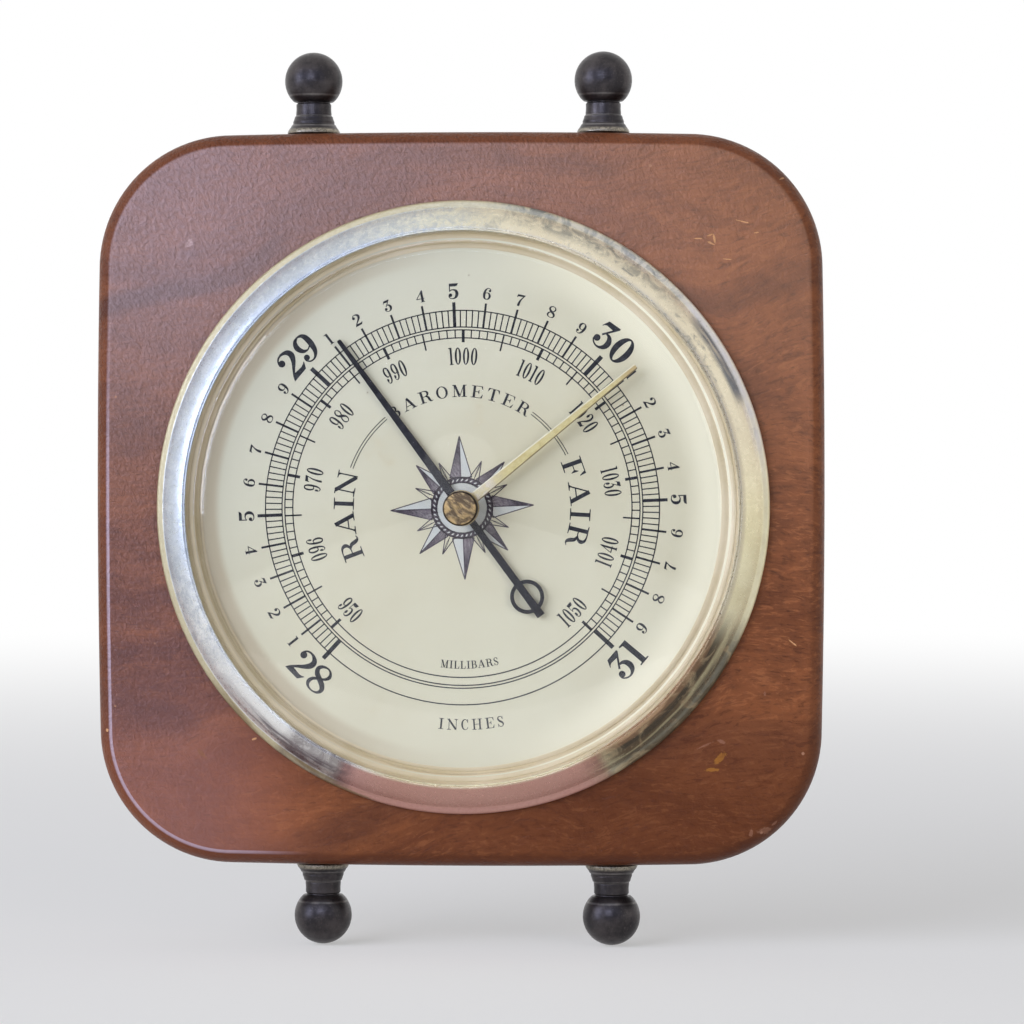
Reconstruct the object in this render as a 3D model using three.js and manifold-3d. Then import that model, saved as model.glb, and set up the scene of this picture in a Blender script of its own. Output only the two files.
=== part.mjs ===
// Weather station: an aneroid barometer let into a square wooden wall plaque that carries four turned
// spindles, two on its top edge and two on its bottom edge.
// Millimetres. +Z is up and the front faces -Y. The back of the plaque lies on Y = 0, and the dial's
// axis is X = Z = 0. A "forward" distance is measured from the back of the plaque towards the front.

import * as THREE from 'three';
import { mergeVertices } from 'three/addons/utils/BufferGeometryUtils.js';
import Module from 'manifold-3d';

const wasm = await Module();
wasm.setup();

const RIGHT_ANGLE = Math.PI / 2;
const DEGREE = Math.PI / 180;

// Clearances: between seated flat faces, round parts that sit in holes, and round turning pivots
const seatGap = 0.1;
const fitGap = 0.3;
const runningGap = 0.1;

// Roundness, in steps to a full turn
const largeSteps = 64;
const caseSteps = 40;
const capsuleSteps = 24;
const smallSteps = 14;
const pinSteps = 10;

// Plaque
const plaqueWidth = 152.4;
const plaqueHeight = 153.6;
const plaqueThickness = 19;
const plaqueCornerRadius = 28;
const plaqueSideBow = 0.5;
const plaqueFrontRounding = 3;
const plaqueBackEasing = 0.6;
const plaqueCentreX = -0.8;
const plaqueCentreZ = 1.6;

// Turned spindles
const spindleSpacing = 61;
const topPairShift = -0.6;
const bottomPairShift = 1.2;
const spindleFlareRadius = 5.5;
const spindleFlareHeight = 3.6;
const spindleNeckRadius = 3.65;
const spindleNeckHeight = 6.3;
const spindleBallRadius = 6.05;
const spindleBallDistance = 11.2;
const spindleFootHeight = 0.4;
const spindleFlareStep = 0.65;
const spindleGroove = 0.4;
const spindleShoulderHeight = 0.35;
const spindleTenonRadius = 2;
const spindleTenonLength = 10;

// Sawtooth hanger and its nails
const hangerWidth = 46;
const hangerHeight = 8;
const hangerSheet = 0.8;
const hangerToothPitch = 2.6;
const hangerToothCount = 11;
const hangerToothDepth = 1;
const hangerMiddleBack = 0.4;
const hangerBendMargin = 1;
const hangerBendLength = 1.5;
const hangerRecessDepth = 2.6;
const hangerRecessMargin = 2;
const hangerDrop = 11.2;
const nailInset = 4;
const nailRadius = 0.6;
const nailHeadRadius = 1.5;
const nailHeadHeight = 0.6;
const nailHeadRounding = 0.2;
const nailLength = 8;

// Case can and the screws under the bezel
const canSheet = 0.6;
const canRibDepth = 1.2;
const canRibRadius = 13.4;
const canCornerRadius = 2.7;
const ventHoleRadius = 1.6;
const rimScrewRadius = 0.9;
const rimScrewHeadRadius = 1.5;
const rimScrewHeadHeight = 0.9;
const rimScrewLength = 8;
const rimScrewPoint = 1.6;
const rimScrewClearance = 0.9;

// Dial, sight ring, lens and bezel
const dialRadius = 57;
const dialThickness = 0.5;
const dialHoleRadius = 2;
const dialSeatWidth = 2.8;
const sightRingSheet = 0.35;
const sightRingGrip = 2.2;
const sightRingRise = 0.75;
const sightRingShelfWidth = 0.9;
const lensOverhang = 1.9;
const lensRimThickness = 2.4;
const lensRimChamfer = 0.3;
const lensShoulder = 2.4;
const lensRidgeHeight = 0.2;
const lensThickness = 1.8;
const bezelLipOverlap = 1.5;
const bezelLipEdge = 0.15;
const bezelSheet = 0.6;
const bezelFootWall = 0.9;
const bezelBeadWidth = 1.5;
const bezelBeadHeight = 1.8;
const bezelBeadRounding = 0.7;
const bezelArcShare = 0.92;

// Base plate and aneroid capsule
const basePlateMargin = 15;
const basePlateThickness = 1.5;
const movementScrewInset = 4;
const movementScrewRadius = 1.2;
const movementScrewHeadRadius = 2.2;
const adjusterRadius = 1.4;
const adjusterHeadRadius = 2.3;
const adjusterRecess = 0.3;
const screwHeadRounding = 0.3;
const capsuleRadius = 19;
const capsuleHeight = 6;
const capsuleStandoff = 1;
const capsuleWall = 0.6;
const capsuleWaveCount = 2;
const capsuleWaveDepth = 0.4;
const capsuleCollarWidth = 1.5;
const capsuleSeamWidth = 1;
const capsuleStudRadius = 2.5;
const capsuleNutWidth = 8;
const capsulePumpHoleRadius = 0.6;
const capsulePostRadius = 1.4;
const capsulePostFoot = 0.6;
const crossPinRadius = 0.3;
const crossPinLength = 6;
const crossPinGap = 0.4;
const postTopMargin = 0.3;

// Main spring and its bridge
const springGap = 1.3;
const springWidth = 16;
const springTipRadius = 4.2;
const springThickness = 0.6;
const bridgeClearance = 3.7;
const bridgeLength = 5.8;
const bridgeFootLength = 4;
const bridgeFootThickness = 1.4;
const clampThickness = 1;
const clampScrewInset = 2.5;
const clampScrewRadius = 0.9;
const clampScrewHeadRadius = 1.6;
const clampScrewHeadHeight = 0.9;
const clampScrewDepth = 4;

// Lever, link, rocking shaft and chain
const leverThickness = 0.8;
const leverWidth = 2.8;
const leverZ = 7;
const leverRootLength = 6.5;
const leverRootClearance = 2.2;
const leverTipMargin = 0.9;
const linkClearance = 4.5;
const linkSideGap = 0.5;
const linkPinRadius = 0.45;
const linkPinReach = 0.5;
const linkEyeRadius = 1.15;
const linkWidth = 1;
const linkThickness = 0.8;
const crankLength = 1.5;
const crankThickness = 1;
const crankHubRadius = 1.3;
const crankEndRadius = 0.95;
const rockerHeight = 3.9;
const rockerArmWidth = 1.8;
const rockerArmTipWidth = 1.2;
const rockerArmThickness = 0.8;
const rockerArmHubRadius = 1.5;
const rockerArmEyeRadius = 1.6;
const rockerArmHoleRadius = 0.95;
const rockerShaftRadius = 0.7;
const rockerEarThickness = 1;
const rockerEarSpacing = 15.6;
const rockerEarFootWidth = 4.8;
const rockerEarTopRadius = 1.6;
const rockerEarClearance = 1.8;
const rockerFootWidth = 6;
const rockerFootThickness = 0.8;
const chainPinRadius = 0.3;
const chainThickness = 0.4;
const chainLinkLength = 2.1;
const chainLinkOverlap = 0.2;
const chainOverrun = 1.9;
const chainDrumGap = 0.2;
const chainArmGap = 0.4;

// Pointer arbor, its bridge and the hairspring
const drumRadius = 0.6;
const pivotRadius = 0.35;
const colletRadius = 1.3;
const colletHeight = 0.7;
const pillarRadius = 2.2;
const pillarInset = 7;
const pillarWaist = 0.5;
const pillarTipRadius = 1.3;
const pillarTipHeight = 0.7;
const dialClearance = 2;
const arborBridgeWidth = 10;
const arborBridgeSheet = 0.8;
const yokeWidth = 9.2;
const yokeLegWidth = 3;
const yokeClearance = 0.4;
const yokeSheet = 0.6;
const hairspringTurns = 3;
const hairspringInnerRadius = 1.65;
const hairspringOuterRadius = 6;
const hairspringStrip = 0.3;
const hairspringStudRadius = 0.9;

// Hands and setting knob, with directions clockwise from the top of the dial
const pointerDirection = -36.4 * DEGREE;
const pointerHeight = 0.9;
const pointerSheet = 0.4;
const pointerLength = 43.3;
const pointerRootWidth = 2;
const pointerTipWidth = 0.9;
const pointerHubRadius = 2.4;
const pointerBossRadius = 1.5;
const pointerBossHeight = 0.3;
const pointerRingDistance = 23;
const pointerRingRadius = 3.54;
const pointerRingStroke = 0.79;
const pointerTailWidth = 1.54;
const pointerTailEndWidth = 1.8;
const pointerTailReach = 4.9;
const setHandDirection = 50.9 * DEGREE;
const setHandGap = 0.3;
const setHandSheet = 0.4;
const setHandLength = 46.6;
const setHandRootWidth = 2.4;
const setHandTipWidth = 1;
const setHandHubRadius = 3.8;
const washerHeight = 0.5;
const washerSheet = 0.2;
const knobRadius = 3.6;
const knobHeight = 3;
const knobRounding = 0.45;
const knobStemRadius = 1.4;
const knobRivetRadius = 2;
const knobRivetHeight = 0.5;

// Forward distances worked out from the sizes above
const canRimBack = plaqueThickness + seatGap;
const canRimFront = canRimBack + canSheet;
const canFloor = canRibDepth + canSheet;
const dialBack = canRimFront + seatGap;
const dialFront = dialBack + dialThickness;
const basePlateBack = canFloor + seatGap;
const basePlateFront = basePlateBack + basePlateThickness;
const capsuleBack = basePlateFront + capsuleStandoff;
const capsuleFront = capsuleBack + capsuleHeight;
const bridgeBack = basePlateFront + seatGap;
const springBack = capsuleFront + springGap;
const springFront = springBack + springThickness;
const clampFront = springFront + seatGap + clampThickness;
const crossPinForward = springFront + crossPinGap + crossPinRadius;
const postTop = crossPinForward + crossPinRadius + postTopMargin;
const leverBack = springFront + seatGap;
const leverMiddle = leverBack + leverThickness / 2;
const arborBridgeFront = dialBack - dialClearance;
const arborBridgeBack = arborBridgeFront - arborBridgeSheet;
const yokeBack = postTop + yokeClearance;
const yokeFront = yokeBack + yokeSheet;
const colletBack = arborBridgeFront + fitGap;
const rockerForward = basePlateFront + rockerHeight;
const chainForward = (yokeFront + arborBridgeBack) / 2;
const pointerBack = dialFront + pointerHeight;
const pointerFront = pointerBack + pointerSheet;
const arborFront = pointerFront + pointerBossHeight + runningGap;
const rivetFront = arborFront + setHandGap + knobRivetHeight;
const setHandBack = rivetFront + seatGap;
const setHandFront = setHandBack + setHandSheet;
const washerBack = setHandFront + seatGap;
const lensInside = washerBack + washerHeight + seatGap;
const lensFront = lensInside + lensThickness;
const sightRingBack = dialFront + seatGap;
const sightRingShelf = sightRingBack + sightRingRise;
const lensBack = sightRingShelf + sightRingSheet + seatGap;
const lensRimFront = lensBack + lensRimThickness;
const bezelCrest = lensRimFront + fitGap + bezelSheet;

// Radii worked out from the sizes above
const canRadius = dialRadius - dialSeatWidth;
const rimScrewCircle = dialRadius + rimScrewClearance + rimScrewHeadRadius;
const canRimRadius = rimScrewCircle + rimScrewHeadRadius + fitGap;
const sightRingInnerRadius = dialRadius - sightRingGrip;
const lensRimRadius = dialRadius + lensOverhang;
const bezelLipRadius = lensRimRadius - bezelLipOverlap;
const lensRidgeRadius = bezelLipRadius - lensShoulder;
const bezelFaceRadius = canRimRadius + fitGap + bezelFootWall;
const bezelRadius = bezelFaceRadius + bezelBeadWidth;
const basePlateRadius = capsuleRadius + basePlateMargin;
const ventHoleCircle = (basePlateRadius + canRadius) / 2;

// Other places worked out from the sizes above
const plaqueTop = plaqueCentreZ + plaqueHeight / 2;
const plaqueBottom = plaqueCentreZ - plaqueHeight / 2;
const hangerZ = plaqueTop - hangerDrop;
const nailX = hangerWidth / 2 - nailInset;
const hangerEndBack = hangerRecessDepth - seatGap - hangerSheet;
const springHeelX = capsuleRadius + bridgeClearance + bridgeLength / 2;
const pillarZ = basePlateRadius - pillarInset;
const leverTipX = -capsuleRadius - linkClearance;
const rockerX = leverTipX - crankLength;
const leverLow = leverZ - leverWidth / 2;
const leverHigh = leverZ + leverWidth / 2;
const linkBottom = leverHigh + linkSideGap;
const linkTop = linkBottom + linkThickness;
const crankTop = linkBottom - linkSideGap;
const crankBottom = crankTop - crankThickness;
const earTop = crankBottom - rockerEarClearance;
const earBottom = earTop - rockerEarSpacing - rockerEarThickness;
const chainZ = drumRadius + chainDrumGap + chainThickness / 2;
const armBottom = chainZ + chainThickness / 2 + chainArmGap;
const armTop = armBottom + rockerArmThickness;
const rimScrewPlaces = spread(rimScrewCircle, [90, 210, 330]);
const movementScrewPlaces = spread(basePlateRadius - movementScrewInset, [60, 180, 300]);
const ventHolePlaces = spread(ventHoleCircle, [20, 160, 270]);
const clampScrewPlaces = [-1, 1].map((side) => [springHeelX, side * (springWidth / 2 - clampScrewInset)]);
const spindles = [
  { name: 'spindle_top_left', side: -1, shift: topPairShift, edge: plaqueTop, up: 1 },
  { name: 'spindle_top_right', side: 1, shift: topPairShift, edge: plaqueTop, up: 1 },
  { name: 'spindle_bottom_left', side: -1, shift: bottomPairShift, edge: plaqueBottom, up: -1 },
  { name: 'spindle_bottom_right', side: 1, shift: bottomPairShift, edge: plaqueBottom, up: -1 },
].map((spindle) => ({
  ...spindle,
  x: plaqueCentreX + spindle.shift + (spindle.side * spindleSpacing) / 2,
}));

// Solid from any closed three.js geometry, with shared points merged and its faces turned outwards
function solidOf(geometry) {
  const bare = new THREE.BufferGeometry();
  bare.setAttribute('position', geometry.getAttribute('position').clone());
  bare.setIndex(geometry.getIndex());
  const merged = mergeVertices(bare, 1e-4);
  const points = merged.getAttribute('position');
  const corners = merged.getIndex();
  const triangles = [];
  const [a, b, c] = [new THREE.Vector3(), new THREE.Vector3(), new THREE.Vector3()];
  let volume = 0;
  for (let first = 0; first < corners.count; first += 3) {
    const [i, j, k] = [0, 1, 2].map((step) => corners.getX(first + step));
    if (i !== j && j !== k && k !== i) {
      triangles.push([i, j, k]);
      a.fromBufferAttribute(points, i);
      b.fromBufferAttribute(points, j);
      c.fromBufferAttribute(points, k);
      volume += a.dot(b.cross(c));
    }
  }
  const outward = volume < 0 ? triangles.map(([i, j, k]) => [i, k, j]) : triangles;
  return new wasm.Manifold(new wasm.Mesh({
    numProp: 3,
    vertProperties: new Float32Array(points.array),
    triVerts: new Uint32Array(outward.flat()),
  }));
}

// Revolved solid round the dial's axis from (radius, forward) pairs; the profile closes on itself
function turned(profile, steps) {
  const points = profile.map(([radius, forward]) => new THREE.Vector2(radius, forward));
  points.push(points[0].clone());
  return solidOf(new THREE.LatheGeometry(points, steps).rotateX(Math.PI));
}

// Plate with an outline drawn in X and Z, between two forward distances
function plate(shape, back, front, steps = smallSteps) {
  const options = { depth: front - back, bevelEnabled: false, curveSegments: steps / 2 };
  return solidOf(new THREE.ExtrudeGeometry(shape, options).translate(0, 0, back).rotateX(RIGHT_ANGLE));
}

// Plate with an outline of (x, forward) pairs, between two heights
function crossPlate(outline, bottom, top) {
  const shape = new THREE.Shape(outline.map(([x, forward]) => new THREE.Vector2(x, -forward)));
  const options = { depth: top - bottom, bevelEnabled: false };
  return solidOf(new THREE.ExtrudeGeometry(shape, options).translate(0, 0, bottom));
}

// Rod along the dial's axis, standing at (x, z)
function rod(x, z, radius, back, front, steps = smallSteps) {
  return plate(new THREE.Shape().absarc(x, z, radius, 0, 2 * Math.PI), back, front, steps);
}

// Rod that lies along Z at (x, forward)
function crossRod(x, forward, radius, bottom, top, steps = smallSteps) {
  const circle = new THREE.Shape().absarc(x, -forward, radius, 0, 2 * Math.PI);
  const options = { depth: top - bottom, bevelEnabled: false, curveSegments: steps / 2 };
  return solidOf(new THREE.ExtrudeGeometry(circle, options).translate(0, 0, bottom));
}

// Rods of one size along the dial's axis, at several (x, z) places
function rods(places, radius, back, front, steps = pinSteps) {
  return places.map(([x, z]) => rod(x, z, radius, back, front, steps));
}

function polygon(pairs) {
  return new THREE.Shape(pairs.map(([x, z]) => new THREE.Vector2(x, z)));
}

function rectangle(left, bottom, right, top) {
  return polygon([[left, bottom], [right, bottom], [right, top], [left, top]]);
}

function onCircle(radius, angle) {
  return [radius * Math.cos(angle), radius * Math.sin(angle)];
}

function spread(radius, degrees) {
  return degrees.map((angle) => onCircle(radius, angle * DEGREE));
}

function united(solids) {
  return solids.reduce((whole, solid) => whole.add(solid));
}

function pierced(solid, cutters) {
  return cutters.reduce((rest, cutter) => rest.subtract(cutter), solid);
}

// Turns a solid into a named mesh and hangs it in a group
function addPiece(group, name, solid, material) {
  const data = solid.getMesh();
  const geometry = new THREE.BufferGeometry();
  geometry.setAttribute('position', new THREE.BufferAttribute(new Float32Array(data.vertProperties), 3));
  geometry.setIndex(new THREE.BufferAttribute(new Uint32Array(data.triVerts), 1));
  geometry.computeVertexNormals();
  const mesh = new THREE.Mesh(geometry, material);
  mesh.name = name;
  group.add(mesh);
  return mesh;
}

// Finishes
function finish(color, roughness, metalness, options = {}) {
  return new THREE.MeshStandardMaterial({ color, roughness, metalness, ...options });
}

const stainedWood = () => finish(0x6b3a24, 0.42, 0);
const paleBrass = () => finish(0xc9bd92, 0.22, 0.9);
const tarnishedBrass = () => finish(0xab8648, 0.38, 0.9);
const brassSheet = () => finish(0xb9975a, 0.4, 0.85);
const gunmetal = () => finish(0x403d40, 0.35, 0.85);
const steelSheet = () => finish(0x9b9c9c, 0.4, 0.9);
const springSteel = () => finish(0x5f6670, 0.3, 0.9);
const blackEnamel = () => finish(0x2b2b33, 0.5, 0.1);
const printedCream = () => finish(0xe1ded0, 0.6, 0);
const clearAcrylic = () => finish(0xffffff, 0.05, 0, { transparent: true, opacity: 0.2 });

const station = new THREE.Group();
const casing = new THREE.Group();
const movement = new THREE.Group();
const pointer = new THREE.Group();
const setter = new THREE.Group();
station.add(casing, movement, pointer, setter);
pointer.rotation.y = pointerDirection;
setter.rotation.y = setHandDirection;

// Plaque outline: round corners joined by sides that bow out slightly, as sanded by hand
function plaqueShape() {
  const cornerX = plaqueWidth / 2 - plaqueSideBow - plaqueCornerRadius;
  const cornerZ = plaqueHeight / 2 - plaqueSideBow - plaqueCornerRadius;
  const cornerSteps = 8;
  const sideSteps = 4;
  const arcs = [[1, 1], [-1, 1], [-1, -1], [1, -1]].map(([sideways, upward], quarter) => {
    const centre = new THREE.Vector2(plaqueCentreX + sideways * cornerX, plaqueCentreZ + upward * cornerZ);
    const arc = [];
    for (let step = 0; step <= cornerSteps; step += 1) {
      const offset = onCircle(plaqueCornerRadius, (quarter + step / cornerSteps) * RIGHT_ANGLE);
      arc.push(new THREE.Vector2(...offset).add(centre));
    }
    return arc;
  });
  return new THREE.Shape(arcs.flatMap((arc, quarter) => {
    const nextCorner = arcs[(quarter + 1) % 4][0];
    const outward = new THREE.Vector2(...onCircle(plaqueSideBow, (quarter + 1) * RIGHT_ANGLE));
    const side = [];
    for (let step = 1; step < sideSteps; step += 1) {
      const along = step / sideSteps;
      const point = arc[cornerSteps].clone().lerp(nextCorner, along);
      side.push(point.addScaledVector(outward, 1 - (2 * along - 1) ** 2));
    }
    return [...arc, ...side];
  }));
}

function easedPlate(shape, front, easing, easingSteps) {
  const options = {
    depth: front - 2 * easing,
    bevelThickness: easing,
    bevelSize: easing,
    bevelOffset: -easing,
    bevelSegments: easingSteps,
  };
  return solidOf(new THREE.ExtrudeGeometry(shape, options).translate(0, 0, easing).rotateX(RIGHT_ANGLE));
}

// Wooden plaque: rounded at the front and nearly square at the back, bored for the can, the spindles'
// tenons and the screws, and routed for the hanger
function plaque() {
  const shape = plaqueShape();
  const roundingSteps = 3;
  const roundedFront = easedPlate(shape, plaqueThickness, plaqueFrontRounding, roundingSteps);
  const squareBack = easedPlate(shape, plaqueThickness / 2, plaqueBackEasing, 1);
  const canBore = rod(0, 0, canRadius + fitGap, -1, plaqueThickness + 1, caseSteps);
  const halfRecess = hangerWidth / 2 + hangerRecessMargin;
  const recessBottom = hangerZ - hangerHeight / 2 - hangerRecessMargin;
  const recessTop = hangerZ + hangerHeight / 2 + hangerRecessMargin;
  const recess = plate(rectangle(-halfRecess, recessBottom, halfRecess, recessTop), -1, hangerRecessDepth);
  const nailEnd = hangerEndBack + nailLength + fitGap;
  const nailHoles = rods([[-nailX, hangerZ], [nailX, hangerZ]], nailRadius + fitGap, 0, nailEnd);
  const tenonHoles = spindles.map(({ x, edge, up }) => {
    const ends = [edge - up * (spindleTenonLength + fitGap), edge + up];
    const radius = spindleTenonRadius + fitGap;
    return crossRod(x, plaqueThickness / 2, radius, Math.min(...ends), Math.max(...ends));
  });
  const screwEnd = canRimFront + seatGap - rimScrewLength - fitGap;
  const screwHoles = rods(rimScrewPlaces, rimScrewRadius + fitGap, screwEnd, plaqueThickness + 1);
  const cutters = [canBore, recess, ...nailHoles, ...tenonHoles, ...screwHoles];
  return pierced(roundedFront.add(squareBack), cutters);
}

addPiece(casing, 'plaque', plaque(), stainedWood());

// Turned spindle standing on the plaque's top edge: tenon, flare, grooved neck, shoulder and ball
function spindle() {
  const shoulder = spindleNeckHeight + spindleGroove + spindleShoulderHeight;
  const profile = [
    [0, -spindleTenonLength], [spindleTenonRadius - spindleGroove, -spindleTenonLength],
    [spindleTenonRadius, spindleGroove - spindleTenonLength], [spindleTenonRadius, seatGap],
    [spindleFlareRadius, seatGap], [spindleFlareRadius, seatGap + spindleFootHeight],
    [spindleFlareRadius - spindleFlareStep, spindleFootHeight + 2 * spindleFlareStep],
    [spindleNeckRadius + spindleGroove / 2, spindleFlareHeight], [spindleNeckRadius, spindleNeckHeight],
    [spindleNeckRadius - spindleGroove / 2, spindleNeckHeight + spindleGroove],
    [spindleNeckRadius + spindleFlareStep, shoulder],
  ];
  const ballSteps = 6;
  const ballStart = Math.acos((shoulder + spindleGroove - spindleBallDistance) / spindleBallRadius);
  for (let step = 0; step <= ballSteps; step += 1) {
    const [height, radius] = onCircle(spindleBallRadius, ballStart * (1 - step / ballSteps));
    profile.push([radius, spindleBallDistance + height]);
  }
  const points = profile.map(([radius, height]) => new THREE.Vector2(radius, height));
  return solidOf(new THREE.LatheGeometry(points, smallSteps).rotateX(RIGHT_ANGLE));
}

for (const { name, x, edge, up } of spindles) {
  const mesh = addPiece(casing, name, spindle(), gunmetal());
  mesh.position.set(x, -plaqueThickness / 2, edge);
  mesh.rotation.x = up > 0 ? 0 : Math.PI;
}

// Sawtooth hanger: a strip bent forward at both ends, with teeth along its lower edge for the wall nail
function hanger() {
  const low = hangerZ - hangerHeight / 2;
  const high = hangerZ + hangerHeight / 2;
  const half = hangerWidth / 2;
  const toothRun = hangerToothPitch * hangerToothCount;
  const outline = [[half, low], [half, high], [-half, high], [-half, low]];
  for (let tooth = 0; tooth < hangerToothCount; tooth += 1) {
    const left = tooth * hangerToothPitch - toothRun / 2;
    outline.push([left, low], [left + hangerToothPitch / 2, low + hangerToothDepth]);
  }
  outline.push([toothRun / 2, low]);
  const bendEnd = toothRun / 2 + hangerBendMargin;
  const bendStart = bendEnd + hangerBendLength;
  const backFace = [
    [-half, hangerEndBack], [-bendStart, hangerEndBack], [-bendEnd, hangerMiddleBack],
    [bendEnd, hangerMiddleBack], [bendStart, hangerEndBack], [half, hangerEndBack],
  ];
  const frontFace = backFace.map(([x, forward]) => [x, forward + hangerSheet]).reverse();
  const bentStrip = crossPlate([...backFace, ...frontFace], low - 1, high + 1);
  const toothedStrip = plate(polygon(outline), 0, hangerRecessDepth).intersect(bentStrip);
  const nailPlaces = [[-nailX, hangerZ], [nailX, hangerZ]];
  return pierced(toothedStrip, rods(nailPlaces, nailRadius + fitGap, 0, hangerRecessDepth));
}

addPiece(casing, 'hanger', hanger(), steelSheet());

// Hanger nail: its head sits on the hanger's end, below the plaque's back
function hangerNail() {
  const headFront = hangerEndBack - seatGap;
  const headBack = headFront - nailHeadHeight;
  const tip = headFront + nailLength;
  return turned([
    [0, headBack], [nailHeadRadius - nailHeadRounding, headBack],
    [nailHeadRadius, headBack + nailHeadRounding], [nailHeadRadius, headFront],
    [nailRadius, headFront], [nailRadius, tip - 2 * nailRadius], [0, tip],
  ], pinSteps);
}

for (const [name, side] of [['hanger_nail_left', -1], ['hanger_nail_right', 1]]) {
  addPiece(casing, name, hangerNail(), steelSheet()).position.set(side * nailX, 0, hangerZ);
}

// Case can: pressed steel cup with a flat rim on the plaque's front, its centre flush with the back
function caseCan() {
  const inner = canRadius - canSheet;
  const ribEdge = canRibRadius + canRibDepth;
  const insideRib = canRibRadius - canSheet / 2;
  const cup = turned([
    [0, 0], [canRibRadius, 0], [ribEdge, canRibDepth], [canRadius - canCornerRadius, canRibDepth],
    [canRadius, canRibDepth + canCornerRadius], [canRadius, canRimBack], [canRimRadius, canRimBack],
    [canRimRadius, canRimFront], [inner, canRimFront], [inner, canRibDepth + canCornerRadius],
    [canRadius - canCornerRadius, canFloor], [ribEdge - canSheet / 2, canFloor], [insideRib, canSheet],
    [0, canSheet],
  ], caseSteps);
  return pierced(cup, [
    ...rods(rimScrewPlaces, rimScrewRadius + fitGap, canRimBack - 1, canRimFront + 1),
    ...rods(movementScrewPlaces, movementScrewRadius + fitGap, 0, canFloor + 1),
    ...rods(ventHolePlaces, ventHoleRadius, 0, canFloor + 1),
    rod(springHeelX, 0, adjusterHeadRadius + fitGap, 0, canFloor + 1),
  ]);
}

addPiece(casing, 'case_can', caseCan(), steelSheet());

// Rim screw: holds the can's rim to the wood, hidden under the bezel
function rimScrew() {
  const seat = canRimFront + seatGap;
  const tip = seat - rimScrewLength;
  const top = seat + rimScrewHeadHeight;
  return turned([
    [0, tip], [rimScrewRadius, tip + rimScrewPoint], [rimScrewRadius, seat], [rimScrewHeadRadius, seat],
    [rimScrewHeadRadius, seat + rimScrewHeadHeight / 2], [rimScrewRadius, top], [0, top],
  ], pinSteps);
}

rimScrewPlaces.forEach(([x, z], index) => {
  addPiece(casing, `rim_screw_${index + 1}`, rimScrew(), steelSheet()).position.set(x, 0, z);
});

// Dial plate, with a hole for the pointer arbor
addPiece(casing, 'dial_plate', turned([
  [dialHoleRadius, dialBack], [dialRadius, dialBack], [dialRadius, dialFront], [dialHoleRadius, dialFront],
], caseSteps), printedCream());

// Sight ring: a sloping reflector that holds down the dial's edge and carries the lens
function sightRing() {
  const shelf = lensRimRadius - sightRingShelfWidth;
  return turned([
    [sightRingInnerRadius, sightRingBack], [shelf, sightRingShelf], [lensRimRadius, sightRingShelf],
    [lensRimRadius, sightRingShelf + sightRingSheet], [shelf, sightRingShelf + sightRingSheet],
    [sightRingInnerRadius, sightRingBack + sightRingSheet],
  ], caseSteps);
}

addPiece(casing, 'sight_ring', sightRing(), paleBrass());

// Lens: a moulded crystal whose raised front ends in a ridge, with a rim that the bezel's lip holds down
function lens() {
  const stemHole = knobStemRadius + fitGap;
  const ridgeHalf = 2 * lensRidgeHeight;
  const insideCorner = lensRidgeRadius - lensThickness / 3;
  return turned([
    [stemHole, lensInside], [insideCorner - (lensInside - lensBack) / 2, lensInside],
    [insideCorner, lensBack], [lensRimRadius, lensBack], [lensRimRadius, lensRimFront - lensRimChamfer],
    [lensRimRadius - lensRimChamfer, lensRimFront], [bezelLipRadius - fitGap, lensRimFront],
    [lensRidgeRadius + ridgeHalf, lensFront],
    [lensRidgeRadius, lensFront + lensRidgeHeight], [lensRidgeRadius - ridgeHalf, lensFront],
    [stemHole, lensFront],
  ], caseSteps);
}

addPiece(casing, 'lens', lens(), clearAcrylic());

// Bezel: a spun ring with a bead at its foot, a convex face and a crisp lip over the lens's rim
function bezel() {
  const insideFoot = canRimRadius + fitGap;
  const beadTop = canRimBack + bezelBeadHeight;
  const lipBack = bezelCrest - bezelSheet;
  const lipCentre = bezelCrest - bezelLipEdge;
  function convexArc(footRadius, top, arcSteps) {
    const arc = [];
    for (let step = 1; step <= arcSteps; step += 1) {
      const [across, rise] = onCircle(1, (step / arcSteps) * bezelArcShare * RIGHT_ANGLE);
      const radius = bezelLipRadius + (footRadius - bezelLipRadius) * across;
      arc.push([radius, beadTop + (top - beadTop) * rise]);
    }
    return arc;
  }
  return turned([
    [bezelRadius, canRimBack], [bezelRadius, beadTop - bezelBeadRounding],
    [bezelRadius - bezelBeadRounding, beadTop], [bezelFaceRadius, beadTop - bezelBeadRounding / 3],
    ...convexArc(bezelFaceRadius, bezelCrest, 4), [bezelLipRadius, lipCentre], [bezelLipRadius, lipBack],
    ...convexArc(insideFoot, lipBack, 4).reverse().slice(1), [insideFoot, canRimBack],
  ], largeSteps);
}

addPiece(casing, 'bezel', bezel(), paleBrass());

// Base plate of the movement, screwed to the can's floor
function basePlate() {
  const disc = rod(0, 0, basePlateRadius, basePlateBack, basePlateFront, capsuleSteps);
  const [back, front] = [basePlateBack - 1, basePlateFront + 1];
  return pierced(disc, [
    ...rods(movementScrewPlaces, movementScrewRadius + fitGap, back, front),
    rod(springHeelX, 0, adjusterRadius + fitGap, back, front),
    rod(0, 0, capsuleStudRadius + fitGap, back, front),
  ]);
}

addPiece(movement, 'base_plate', basePlate(), brassSheet());

// Movement screw: its head lies round the can's pressed centre, flush with the plaque's back
function movementScrew() {
  const headFront = canRibDepth - seatGap;
  return turned([
    [0, seatGap], [movementScrewHeadRadius - screwHeadRounding, seatGap],
    [movementScrewHeadRadius, seatGap + screwHeadRounding], [movementScrewHeadRadius, headFront],
    [movementScrewRadius, headFront], [movementScrewRadius, basePlateFront], [0, basePlateFront],
  ], pinSteps);
}

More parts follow.
